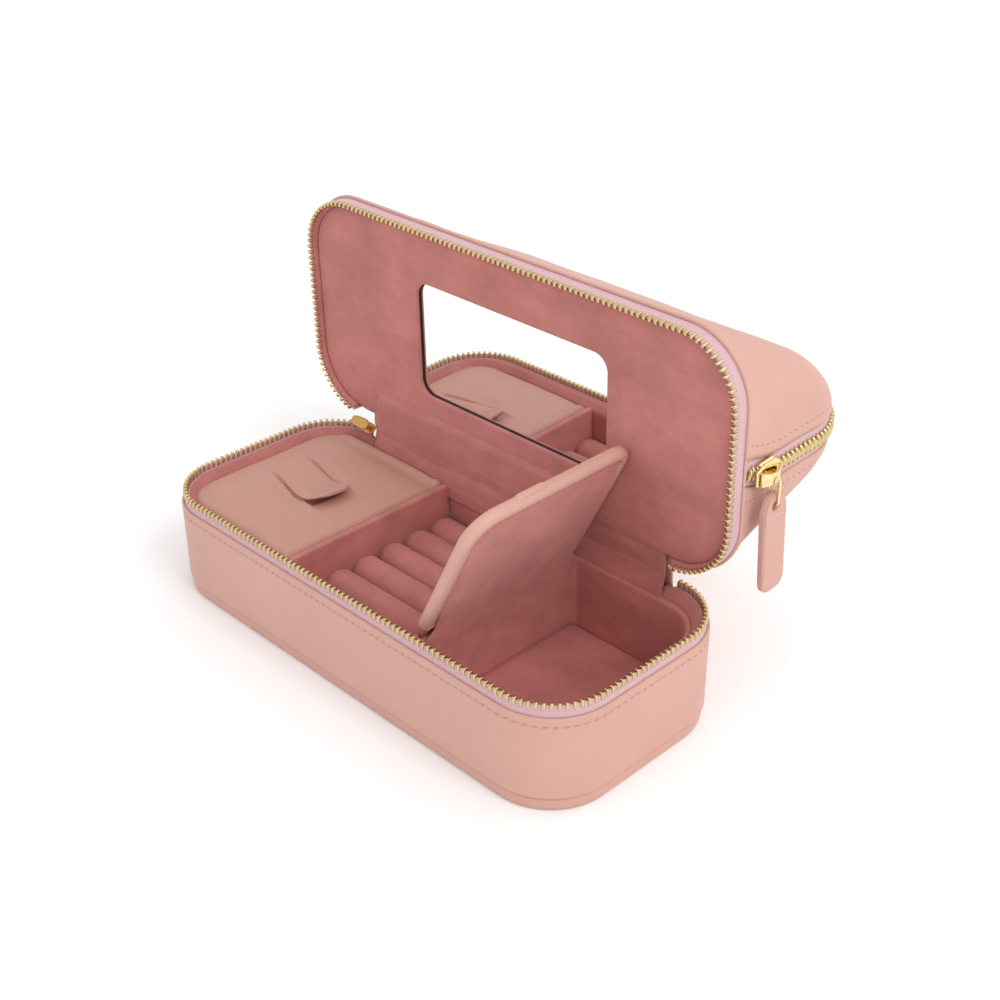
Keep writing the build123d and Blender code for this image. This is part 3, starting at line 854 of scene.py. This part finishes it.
def tongue():
    """The pad's finger tab: level with the pad at its root and curling up at its free end."""
    rows, count, wide = [], 44, 14
    for i in range(count + 1):
        t = i / count
        x = -70.0 + 24.2 * t
        rise = 3.3 * smooth_step((x + 57) / 11) ** 1.15
        half = 7.7 - 3.6 * max(0, (t - 0.8) / 0.2) ** 2
        top, under = [], []
        for k in range(wide + 1):
            v = 2 * k / wide - 1
            y = (TONGUE[0] + TONGUE[1]) / 2 + half * v + skew(x)
            flat = pad_height(min(x, -60), 0) + 0.05 + 0.25 * smooth_step((x + 66) / 8)
            z = flat + rise - 0.3 * abs(v) ** 3 - 0.8 * rise * 0.14 * v + 0.12 * ripple(x, y, 6, 3)
            top.append((x, y, z))
            under.append((x, y, z - 1.0 - 0.35 * (1 - abs(v) ** 2)))
        rows.append(top + under[::-1])
    tab = rings("pad_tongue", rows)
    tab.modifiers.new("rounder", "SUBSURF").levels = 1
    return dress(tab, PAD_LEATHER, "pad_leather", "pad", "pad_tab")


# ================================================================ flap
FLAP_OPEN = 63.7
FLAP_X = 32.2
FLAP_Z = 35.0


def flap_up(p):
    """Turns a point of the flap, drawn flat from its hinge, to where it stands open."""
    turn = math.radians(FLAP_OPEN)
    x, z = p[0], p[2]
    return (FLAP_X + x * math.cos(turn) - z * math.sin(turn), p[1],
            FLAP_Z + x * math.sin(turn) + z * math.cos(turn))


def flap():
    ring = plate_ring(1.4, 54.3, -34, 34.85, [7.6, 1.6, 1.6, 11])
    edge = [(-4.4, -0.6), (-4.25, -1.5), (-3.5, -2.0), (-2.0, -2.2), (-0.7, -1.75), (0.0, -0.6), (0.0, 0.7),
            (-0.5, 1.7), (-1.4, 2.2), (-3.0, 2.35)]
    shell = cushion("flap_shell", ring, edge, [(0.96, 2.42), (0.9, 2.44)], flap_up)
    dress(shell, LEATHER, "leather", "flap", "flap_leather")
    inner = plate_ring(1.9, 50.4, -30.3, 31.3, [5.2, 1.4, 1.4, 7.8])
    low = [(-0.8, -0.4), (0.0, -0.6), (0.1, -1.2), (-0.25, -1.72), (-0.9, -1.95), (-2.4, -2.1)]
    face = cushion("flap_face", inner, low, [(0.94, -2.12)], flap_up)
    dress(face, SUEDE, "suede", "flap", "flap_suede")
    half = len(inner) // 2
    seam = [flap_up((x + nx * 0.7, y + ny * 0.7, -2.1))
            for x, y, nx, ny in inner[half + 1:] + inner[:half + 1] if x > 4]
    down = Vector(flap_up((0, 0, -1))) - Vector(flap_up((0, 0, 0)))
    dress(stitch_line("flap_stitches", seam, [down] * len(seam), 2.2, 0.4), THREAD_DARK, "leather", "flap")
    tab_ring = plate_ring(52.6, 55.0, -15.5, -2.8, [1.8, 0.4, 0.4, 1.8], short=16, long=5)
    tab_edge = [(-0.5, -0.35), (-0.1, -0.1), (0, 0.6), (-0.1, 1.5), (-0.5, 1.85)]
    tab = cushion("flap_pull_tab", tab_ring, tab_edge, [(0.6, 1.95), (0.2, 1.95)], flap_up)
    dress(tab, LEATHER, "leather", "flap", "flap_tab")


def flap_lining():
    """The flap's suede runs on without a break, over its hinge and down the compartment's side."""
    low, bend = Vector((34.35, 21.0)), Vector((34.35, 33.6))
    high = Vector(flap_up((17.0, 0, -2.75))[::2])
    line = [(34.35, 7.0 + k) for k in range(14)]
    line += [tuple(low.lerp(bend, k / 30).lerp(bend.lerp(high, k / 30), k / 30)) for k in range(30)]
    up_the_flap = [0] * 14 + [17.0 * k / 30 for k in range(30)]
    for k in range(41):
        a = 17.0 + 33.3 * k / 40
        depth = -2.75 + 0.55 * smooth_step((a - 38) / 10) + 0.6 * smooth_step((a - 48) / 2.3)
        line.append(flap_up((a, 0, depth))[::2])
        up_the_flap.append(a)
    rows = []
    for k in range(61):
        row = []
        for (x, z), a in zip(line, up_the_flap):
            wide = 33.9 - 3.4 * smooth_step((z - 31) / 5)
            front = wide - 7.8 + math.sqrt(max(0, 7.8 ** 2 - max(0, a - 42.6) ** 2))
            back = wide + 0.9 * smooth_step(a / 20)
            back = back - 5.2 + math.sqrt(max(0, 5.2 ** 2 - max(0, a - 45.2) ** 2))
            y = -front + (front + back) * k / 60
            sink = 0.75 * smooth_step(a / 4) * smooth_step(1 - min(k, 60 - k) / 2.4)
            row.append((x - 0.9 * sink + 0.1 * ripple(y, z, 12, 6), y, z + 0.44 * sink))
        rows.append(row)
    sheet = solid(mesh("flap_lining", *grid(rows)), 0.5)
    settle(sheet)
    sheet.data.materials.append(SUEDE)
    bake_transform(sheet)
    return sheet


def flap_roll():
    """The sewn fold that the flap turns on, with its foot on the divider."""
    r = 1.25
    around = (math.radians(d) for d in range(-50, 231, 20))
    outline = [(FLAP_X + r * math.cos(a), FLAP_Z + r * math.sin(a)) for a in around]
    outline += [(31.5, 33.1), (32.7, 33.1)]
    rows = [[(x + 0.08 * ripple(y, z, 6, 2), y, z) for x, z in outline]
            for y in (-33.4 + 66.8 * k / 40 for k in range(41))]
    return dress(rings("flap_fold", rows), SUEDE, "suede", "tray", "flap_hinge")


# ================================================================ lid
WINDOW = (-41.0, 45.0, -21.0, 21.0, [5.5] * 4)


def window_edge():
    """The lip of the card round the mirror, near black: painted shade of the recess over the card's cut edge.
    """
    ring = plate_ring(*WINDOW)
    rows = [[lid_up(p) for p in offset_ring(ring, out, z)]
            for out, z in ((0.35, 43.45), (-0.06, 43.45), (-0.1, 43.6), (-0.1, 44.08), (0.35, 44.08))]
    return dress(mesh("window_edge", *grid(rows, True, True)), WINDOW_PAINTED_SHADE, "board", "lid")


def lid_face():
    """The suede face with its window: pulled over the board, soft at both edges."""
    outer = plate_ring(-93.7, 93.7, -38.7, 38.7, [19.7] * 4)
    window = plate_ring(*WINDOW)
    profile = [(0, -0.3, 44.1), (0, 0.0, 43.6), (0, -0.15, 42.9), (0, -0.8, 42.5), (0.08, 0, LID_SUEDE_Z)]
    profile += [(t, 0, LID_SUEDE_Z) for t in (0.15, 0.25, 0.35, 0.45, 0.55, 0.65, 0.75, 0.85, 0.93)]
    profile += [(1, 0.9, LID_SUEDE_Z), (1, 0.25, 42.55), (1, 0.02, 42.95), (1, 0.0, 43.6), (1, 0.02, 44.05),
                (0.9, 0, 44.1), (0.5, 0, 44.1), (0.1, 0, 44.1)]
    face = holed("lid_face", outer, window, profile, lid_up, relief=lambda x, y: 0.1 * ripple(x, y, 15, 6))
    return dress(face, SUEDE, "suede", "lid", "lid_suede")


def mirror():
    ring = plate_ring(-43.5, 47.5, -23.5, 23.5, [2] * 4, corner=4)
    glass = cushion("mirror_pane", ring, [(-0.1, 45.6), (0, 45.5), (0, 44.3), (-0.12, 44.16), (-1.6, 44.11)],
                    [(0.6, 44.11), (0.2, 44.11)], lid_up)
    glass.data.polygons.foreach_set("use_smooth", [False] * len(glass.data.polygons))
    return dress(glass, MIRROR, "mirror", "lid", "mirror_glass")


def lid_zip():
    tape = filleted([(0.7, 46.2, 0), (0.64, 44.6, 0.4), (0.5, 42.6, 1), (0.42, 40.5, 0.2),
                     (-0.35, 40.5, 0.2), (-0.45, 42.6, 1), (-0.45, 45.2, 0)], steps=3)
    dress(rim_sweep("lid_rim_tape", tape, ZIP_RUN, lid_up), TAPE, "zip_tape", "lid", "lid_tape")
    trim = filleted([(-0.38, 40.75, 0.1), (-0.75, 40.7, 0.2), (-1.5, 42.35, 0.4), (-1.5, 43.4, 0),
                     (-0.4, 43.4, 0)], steps=3)
    dress(rim_sweep("lid_inner_trim", trim, ZIP_RUN, lid_up), SUEDE, "suede", "lid")
    frames = rim_frames(0, 2 * RIM_Z - TOOTH_Z, PITCH, ZIP_START + PITCH / 2, ZIP_END, "down", lid_up)
    dress(scattered("lid_rim_teeth", *rim_tooth(), frames), TEETH, "zip_metal", "lid", "lid_teeth")


def lid_edge():
    """The lid's leather edge: a rolled welt between the tape and the pouch."""
    profile = filleted([(0.65, 46.4, 0), (0.68, 45.5, 0.2), (0.85, 45.3, 0.2), (1.15, 45.6, 0.2),
                        (1.25, 46.0, 0.2), (1.2, 46.4, 0.3)])
    return dress(rim_sweep("lid_welt", profile, LOOP, lid_up), LEATHER, "leather", "lid", "lid_leather")


# ================================================================ pouch
SECTIONS = ((46.4, 45.0, 36.4, 22.0), (62.0, 37.5, 28.0, 17.0), (82.0, 26.8, 19.3, 13.0),
            (95.0, 16.8, 12.8, 11.0), (103.0, 10.2, 9.0, 8.0), (107.7, 4.75, 4.75, 4.0))


def section(z, column):
    """One measure of the pouch's outline at a height, on a smooth curve through the table."""
    table = [(row[0], row[column]) for row in SECTIONS]
    k = max(i for i in range(len(table) - 1) if table[i][0] <= max(z, table[0][0]))
    (z0, v0), (z1, v1) = table[k], table[k + 1]

    def slope(i):
        a, b = table[max(0, i - 1)], table[min(len(table) - 1, i + 1)]
        return (b[1] - a[1]) / (b[0] - a[0])
    h = z1 - z0
    t = min(1.0, max(0.0, (z - z0) / h))
    a, b = slope(k) * h, slope(k + 1) * h
    return ((2 * t ** 3 - 3 * t ** 2 + 1) * v0 + (t ** 3 - 2 * t ** 2 + t) * a
            + (3 * t ** 2 - 2 * t ** 3) * v1 + (t ** 3 - t ** 2) * b)


def half_length(z):
    start = POUCH_TOP_Z - POUCH_CORNER
    if z <= start:
        return POUCH_HALF_LENGTH
    return POUCH_HALF_LENGTH - POUCH_CORNER + math.sqrt(max(0, POUCH_CORNER ** 2 - (z - start) ** 2))


def zip2_y(z):
    """The second zip's line leans towards the lid's top as it meets the lid."""
    return ZIP2_Y - 3.5 * max(0, (62.0 - z) / 15.7) ** 2


def pouch_depth(side, x, z):
    """How far a wall stands out, with the leather's slack: a sag at the left and soft folds."""
    depth = section(z, 1 if side < 0 else 2)
    rise = smooth_step((z - 46.4) / 10) * smooth_step((106 - z) / 14)
    near = smooth_step((92 - z) / 40)
    slack = 0.9 * ripple(x, z * 0.5, 30, 11 + side) + 0.55 * near * ripple(x, z * 0.35, 11, 5 + side)
    depth += slack * rise
    if side < 0:
        depth -= 3.2 * smooth_step((-15 - x) / 62) * smooth_step((104 - z) / 40) * smooth_step((z - 47) / 12)
    return depth


def wall_outline(side, z, bend=12):
    """One level of a pouch wall, from the left end of its zip edge round to the right one."""
    reach, hl, y0 = ZIP2_TAPE, half_length(z), zip2_y(z)
    lean = side * (ZIP2_Y - y0)
    base = section(z, 1 if side < 0 else 2) + lean
    corner = max(0.05, min(section(z, 3), base - reach - 0.02))
    straight, flat = base - corner - reach, hl - corner
    angles = [math.pi / 2 * k / bend for k in range(bend)]
    points = [(-hl, reach + straight * k / 10) for k in range(10)]
    points += [(-hl + corner * (1 - math.cos(a)), base - corner + corner * math.sin(a)) for a in angles]
    points += [(-flat + 2 * flat * k / 70, base) for k in range(71)]
    angles = [math.pi / 2 * (1 - k / bend) for k in range(1, bend + 1)]
    points += [(hl - corner * (1 - math.cos(a)), base - corner + corner * math.sin(a)) for a in angles]
    points += [(hl, base - corner - straight * k / 10) for k in range(1, 11)]
    out = []
    for x, depth in points:
        share = smooth_step((depth - reach) / max(1.0, base - reach))
        depth += share * (pouch_depth(side, x, z) + lean - base)
        bulge = 0.5 * (1 - share) * ripple(z, depth, 16, 3) * smooth_step((z - 47) / 8)
        x += (1 if x > 0 else -1) * bulge * (1 if abs(x) > hl - 1 else 0)
        out.append((x, y0 + side * depth, z))
    return out


SEAM_SPREAD = 42.0
SEAM_LEVELS = [(45.7, -0.5), (45.35, -0.1), (45.3, 0.4), (45.42, 0.74), (45.75, 0.88), (46.2, 0.86),
               (46.8, 0.78), (47.5, 0.62), (48.6, 0.36), (49.8, 0.14)]
WALL_LEVELS = [51.0 + 1.25 * k for k in range(39)] + [99.7 + 0.85 * k for k in range(5)]
WALL_LEVELS += [104.0, 104.7, 105.3, 105.9, 106.4, 106.8, 107.15, 107.4, 107.6, 107.7]
POUCH_LEVELS = SEAM_LEVELS + [(z, 0.0) for z in WALL_LEVELS]


def pouch_wall(side, name):
    """One leather wall: its lower edge is turned over the lid's tape, its upper one meets the zip."""
    rows = []
    for z, out in POUCH_LEVELS:
        y0 = zip2_y(z)
        rows.append([lid_up((x * (1 + out / POUCH_HALF_LENGTH), y0 + (y - y0) * (1 + out / SEAM_SPREAD), z))
                     for x, y, _ in wall_outline(side, z)])
    wall = mesh(f"pouch_{name}_wall", *grid(rows)[:2])
    surface = wall.data
    dress(solid(wall, 1.2), LEATHER, "leather", "lid", f"pouch_{name}")
    return surface


def arch(step=1.5, low=47.6):
    """The second zip's path: up the left side, over the top, down the right. x, z and the way out."""
    top, r, hl = POUCH_TOP_Z, POUCH_CORNER, POUCH_HALF_LENGTH
    rise, flat = top - r - low, 2 * (hl - r)
    ups, count = round(rise / step), round(flat / step)
    path = [(-hl, low + rise * k / ups, -1, 0) for k in range(ups)]
    for side, first in ((-1, math.pi), (1, math.pi / 2)):
        for a in (first - math.pi / 2 * k / 28 for k in range(29)):
            nx, nz = math.cos(a), math.sin(a)
            path.append((side * (hl - r) + r * nx, top - r + r * nz, nx, nz))
        if side < 0:
            path += [(-(hl - r) + flat * k / count, top, 0, 1) for k in range(1, count)]
    return path + [(hl, top - r - rise * k / ups, 1, 0) for k in range(1, ups + 1)]


def zip2_tape(side, name):
    """Half of the second zip's tape, from the middle of its teeth to under the wall's edge."""
    profile = [(0.12, -0.15), (1.2, -0.1), (2.6, -0.25), (4.0, -0.3), (5.4, -0.9), (5.4, -1.6), (4.0, -1.0),
               (2.6, -0.95), (1.2, -0.8), (0.12, -0.8)]
    path = arch(low=45.0)
    rows = [[lid_up((x + nx * out, zip2_y(z) + side * across, z + nz * out)) for across, out in profile]
            for x, z, nx, nz in path]
    us = lengths([(p[0], p[1]) for p in path], False)
    tape = mesh(f"pouch_zip_tape_{name}", *grid(rows, False, True, us, lengths(profile), caps=True))
    return dress(tape, TAPE, "zip_tape", "lid", f"pouch_tape_{name}")


def zip2_frames(side):
    """Places of one row of the second zip's teeth, half a pitch from the other row's."""
    def at(x, z, across=0.0):
        return Vector(lid_up((x, zip2_y(z) + across, z)))

    path = arch()
    frames, left = [], PITCH / 2 if side < 0 else PITCH
    for (x0, z0, a0, b0), (x1, z1, a1, b1) in zip(path, path[1:]):
        length = math.hypot(x1 - x0, z1 - z0)
        while left < length:
            t = left / length
            x, z = x0 + (x1 - x0) * t, z0 + (z1 - z0) * t
            nx, nz = a0 + (a1 - a0) * t, b0 + (b1 - b0) * t
            along = (at(x1, z1) - at(x0, z0)).normalized()
            up = (Vector(lid_up((x + nx, zip2_y(z), z + nz))) - at(x, z)).normalized()
            frames.append((at(x, z, side * 0.45), along, up.cross(along), up))
            left += PITCH
        left -= length
    return frames


def zip2_tooth():
    """A tooth of the closed chain: it lies across, with its head between the other row's."""
    outline = filleted([(-1.9, -0.5, 0.2), (1.9, -0.5, 0.2), (1.9, 0.5, 0.3), (1.2, 1.35, 0.4),
                        (-1.2, 1.35, 0.4), (-1.9, 0.5, 0.3)], steps=2)
    return tooth_form(outline, 1.15, 0.4, ((-0.5, 0.8), (-0.38, 1.0), (0.38, 1.0), (0.5, 0.8)))


def zip2_teeth(side, name):
    teeth = scattered(f"pouch_zip_teeth_{name}", *zip2_tooth(), zip2_frames(side))
    return dress(teeth, TEETH, "zip_metal", "lid", f"pouch_teeth_{name}")


def pouch_stitches(side, name, surface):
    """A row of stitches beside the second zip, laid on the wall by casting rays at it."""
    faces = [tuple(p.vertices) for p in surface.polygons]
    tree = BVHTree.FromPolygons([v.co / MM for v in surface.vertices], faces)
    points, normals = [], []
    for x, z, nx, nz in arch(step=1.0, low=46.8):
        reach = 8.3 + 1.0 * max(0, (62.0 - z) / 15.7)
        start = Vector(lid_up((x + nx * 12, zip2_y(z) + side * reach, z + nz * 12)))
        way = Vector(lid_up((x, zip2_y(z) + side * reach, z))) - start
        hit, normal, _, _ = tree.ray_cast(start, way.normalized(), 40)
        if hit is not None:
            points.append(tuple(hit))
            normals.append(tuple(-normal if normal.dot(way) > 0 else normal))
    line = stitch_line(f"pouch_stitches_{name}", points, normals, 2.8, 0.62, -0.08)
    return dress(line, THREAD_DARK, "leather", "lid")


def pouch_lining():
    rows = []
    for k in range(27):
        z = 47.5 + 2.2 * k
        ring = []
        for side in (-1, 1):
            outline = wall_outline(side, z, 6)
            outline = outline if side < 0 else outline[::-1]
            for x, y, _ in outline[::2]:
                ring.append(lid_up((x * 0.972, zip2_y(z) + (y - zip2_y(z)) * 0.9, z - 1.2)))
        rows.append(ring)
    lining = mesh("pouch_inside", *grid(rows, False, True))
    return dress(solid(lining, 0.3), LINING, "pouch_lining", "lid", "pouch_lining")


# ================================================================ sliders, links and pulls
def slider_at(place, name, body, material, inner=False):
    """A cast zip slider: bevelled shield, turned-down sides and an arched bridge for the link."""
    points, faces = [], []

    def add(rows):
        some, several, _ = grid(rows, False, True, caps=True)
        start = len(points)
        points.extend(some)
        faces.extend(tuple(start + v for v in f) for f in several)

    def plate(outline, levels):
        add([[place((a * scale, b * scale, c)) for a, b in outline] for scale, c in levels])

    shield = filleted([(-5.4, -2.5, 1.2), (-5.4, 2.5, 1.2), (-2.2, 3.9, 2.0), (3.6, 4.2, 1.8),
                       (5.5, 2.6, 1.2), (5.5, -2.6, 1.2), (3.6, -4.2, 1.8), (-2.2, -3.9, 2.0)], steps=5)
    if inner:
        shield = [(a, b * 0.58) for a, b in shield]
    plate(shield, [(0.93, 0.0), (1.0, 0.12), (1.0, 0.8), (0.96, 1.05), (0.86, 1.15)])
    if inner:
        plate(shield, [(0.88, -4.9), (0.97, -4.8), (1.0, -4.6), (1.0, -4.0), (0.95, -3.85)])
        wedge = filleted([(2.6, -1.0, 0.4), (4.8, -0.7, 0.4), (4.8, 0.7, 0.4), (2.6, 1.0, 0.4)])
        plate(wedge, [(1, -4.0), (1, 0.2)])
    else:
        for side in (-1, 1):
            rail = filleted([(-3.0, side * 3.0, 0.4), (3.6, side * 3.3, 0.4), (3.6, side * 4.25, 0.6),
                             (-3.0, side * 3.95, 0.6)])
            plate(rail, [(0.97, -1.45), (1, -1.2), (1, 0.3)])
    rows = []
    for k in range(25):
        t = k / 24
        a = -4.4 + 8.8 * t
        c = 0.7 + 3.3 * math.sin(math.pi * min(1, 0.05 + 0.93 * t ** 0.85)) ** 0.6
        half = 2.2 - 0.9 * t + 0.7 * t ** 4
        thick = 0.5 + 0.25 * abs(2 * t - 1)
        lean = math.cos(math.pi * (0.06 + 0.92 * t))
        ring = filleted([(-half, -thick, 0.3), (half, -thick, 0.3), (half, thick, 0.3), (-half, thick, 0.3)],
                        steps=2)
        rows.append([place((a - w * 0.8 * lean, b, c - 0.4 + w * (1 - 0.3 * abs(lean)))) for b, w in ring])
    add(rows)
    return dress(mesh(name, points, faces), material, "gold", body, body)


def slider2_place(p):
    a, b, c = p
    return lid_up((POUCH_HALF_LENGTH + 1.6 + c, zip2_y(54.5) + b, 54.5 + a))


def slider1_place(p):
    a, b, c = p
    return lid_up((-73.4 + 0.8 * a, 41.2 + 0.86 * c, RIM_Z + 0.3 - 0.86 * b), LID_OPEN / 2)


BAR2 = (100.7, 46.979, 83.359)
HOLE2 = (100.7, 46.979, 74.859)
BAR1 = (-71.5, 38.523, 38.027)
HOLE1 = (-71.5, 47.023, 38.027)
LINK_REACH = 3.625
LINK_R = 1.8
LINK_HALF = 3.075


def link_loop(across, along, middle):
    """A long loop of wire: two half circles and straight sides, its middle at the given place."""
    across, along, middle = Vector(across), Vector(along), Vector(middle)
    path = []
    for end, first in ((1, 0), (-1, math.pi)):
        for a in (first + math.pi * k / 16 for k in range(17)):
            u, v = LINK_R * math.cos(a), end * LINK_HALF + LINK_R * math.sin(a)
            path.append(tuple(middle + across * u + along * v))
    return path


def links():
    for body, middle, across, along, wire, up in (
            ("link_2", (BAR2[0], BAR2[1], BAR2[2] - LINK_REACH), (1, 0, 0), (0, 0, 1), 0.46, (0, 1, 0)),
            ("link_1", (BAR1[0], BAR1[1] + LINK_REACH, BAR1[2]), (0, 0, 1), (0, 1, 0), 0.52, (1, 0, 0))):
        ring = tube(body.replace("_", "_ring_"), link_loop(across, along, middle), wire, up)
        dress(ring, GOLD, "gold", body, body)


def evenly(outline, count):
    """Points spaced evenly along a closed outline."""
    marks, out = lengths(outline), []
    for k in range(count):
        s = marks[-1] * k / count
        i = max(j for j in range(len(outline)) if marks[j] <= s)
        a, b = outline[i], outline[(i + 1) % len(outline)]
        t = (s - marks[i]) / max(1e-9, marks[i + 1] - marks[i])
        out.append((a[0] + (b[0] - a[0]) * t, a[1] + (b[1] - a[1]) * t))
    return out


def pull(body, place):
    """A leather pull: two layers folded round the ring, with a crowned face and a stitched yoke."""
    outline = filleted([(-5.4, -30.8, 4.3), (5.4, -30.8, 4.3), (5.4, -1.2, 4.0), (3.4, 4.0, 2.8),
                        (-3.4, 4.0, 2.8), (-5.4, -1.2, 4.0)], steps=7)
    dense = evenly(outline, 96)
    outer, inner = [], []
    for k, (y, z) in enumerate(dense):
        a, b = dense[k - 1], dense[(k + 1) % len(dense)]
        tangent = Vector((b[0] - a[0], b[1] - a[1])).normalized()
        outer.append((y, z, tangent.y, -tangent.x))
        angle = math.atan2(z, y)
        inner.append((1.7 * math.cos(angle), 1.7 * math.sin(angle), -math.cos(angle), -math.sin(angle)))
    profile = [(0, -0.35, -1.1), (0, -0.08, -0.85), (0, 0, -0.4), (0, -0.1, 0), (0, 0, 0.4), (0, -0.08, 0.85),
               (0, -0.35, 1.1), (0.08, 0, 1.17), (0.3, 0, 1.2), (0.6, 0, 1.2), (0.9, 0, 1.15), (1, -0.1, 1.1),
               (1, 0, 0.7), (1, 0, -0.7), (1, -0.1, -1.1), (0.9, 0, -1.15), (0.6, 0, -1.2), (0.3, 0, -1.2),
               (0.08, 0, -1.17)]
    dress(holed(f"{body}_tab", outer, inner, profile, place), LEATHER, "pull_leather", body, body)
    path = [(-4.7 + 9.4 * k / 10, -4.6 + 1.2 * math.sin(math.pi * k / 10)) for k in range(11)]
    for face, side in ((1, "near"), (-1, "far")):
        line = [place((y, z, face * 1.22)) for y, z in path]
        out = tuple(Vector(place((0, 0, face))) - Vector(place((0, 0, 0))))
        stitches = stitch_line(f"{body}_tab_stitches_{side}", line, [out] * len(line), 1.55, 0.62, -0.05)
        dress(stitches, THREAD_PALE, "pull_leather", body)


def pull2_place(p):
    """A point of the second pull, from across, up and outwards, leaning as it hangs."""
    lean = math.radians(5.0)
    y, z = p[0], p[1]
    return (HOLE2[0] + p[2], HOLE2[1] + y * math.cos(lean) - z * math.sin(lean),
            HOLE2[2] + y * math.sin(lean) + z * math.cos(lean))


def pull1_place(p):
    return HOLE1[0] + p[0], HOLE1[1] - p[1], HOLE1[2] + p[2]


# ================================================================ everything
for make in (plinth, wall_leather, wall_stitches, rim_tape, rim_teeth, tray_lining, rim_piping, floor):
    make()
compartment("right_compartment_wall", 34.0, 89.2, [15.2, 2.2, 2.2, 15.2], 32.6, "right_box")
compartment("left_compartment_wall", -89.2, -32.4, [2.2, 15.2, 15.2, 2.2], 26.9, "left_box")
divider("divider_left_wall", LEFT_X, 34.4, "divider_left")
divider("divider_right_wall", RIGHT_X, 33.1, "divider_right")
for number in range(6):
    ring_roll(number)
bend_hinges()
flap_lining()
pad()
tongue()
flap()
flap_roll()
lid_face()
window_edge()
mirror()
lid_zip()
lid_edge()
for side, name in ((-1, "front"), (1, "back")):
    surface = pouch_wall(side, name)
    zip2_tape(side, name)
    zip2_teeth(side, name)
    pouch_stitches(side, name, surface)
pouch_lining()
slider_at(slider2_place, "slider_2_body", "slider_2", GOLD)
# Slider 1 takes the darkened gold, which paints its shade.
slider_at(slider1_place, "slider_1_body", "slider_1", GOLD_PAINTED_SHADE, inner=True)
links()
pull("pull_2", pull2_place)
pull("pull_1", pull1_place)
carry(BOARD, "wall_board", "pad_board", "lid_board", "mirror_backing")
carry(FOAM, "ring_base")


# ================================================================ camera, light and floor
CAMERA_PLACE = Vector((322.0, -285.1, 305.1)) * MM
CAMERA_TARGET = Vector((-49.48, 82.14, 0)) * MM
CAMERA_ROLL = math.radians(-0.216)
LENS = 55.3
SENSOR_WIDTH = 36


def camera():
    data = bpy.data.cameras.new("camera")
    data.lens = LENS
    data.sensor_width = SENSOR_WIDTH
    obj = bpy.data.objects.new("camera", data)
    obj.location = CAMERA_PLACE
    obj.rotation_mode = "QUATERNION"
    roll = Quaternion((0, 0, 1), CAMERA_ROLL)
    obj.rotation_quaternion = (CAMERA_TARGET - CAMERA_PLACE).to_track_quat("-Z", "Y") @ roll
    bpy.context.scene.collection.objects.link(obj)
    bpy.context.scene.camera = obj


def light(name, place, size, power, target=(0, 0, 0.05)):
    data = bpy.data.lights.new(name, "AREA")
    data.shape = "DISK"
    data.size = size
    data.energy = power
    obj = bpy.data.objects.new(name, data)
    obj.location = place
    obj.rotation_euler = (Vector(target) - Vector(place)).to_track_quat("-Z", "Y").to_euler()
    bpy.context.scene.collection.objects.link(obj)


def studio():
    world = bpy.data.worlds.new("studio")
    world.use_nodes = True
    background = world.node_tree.nodes["Background"]
    background.inputs["Color"].default_value = (1, 1, 1, 1)
    background.inputs["Strength"].default_value = 0.96
    bpy.context.scene.world = world
    span = 6000
    corners = [(-span, -span, 0), (span, -span, 0), (span, span, 0), (-span, span, 0)]
    ground = mesh("ground", corners, [(0, 1, 2, 3)])
    ground.data.materials.append(floor_paper())
    light("key", (1.3, -0.1, 1.5), 1.0, 11)
    light("back", (0.5, 1.5, 1.6), 1.2, 4)
    bpy.context.scene.view_settings.view_transform = "Standard"


camera()
studio()
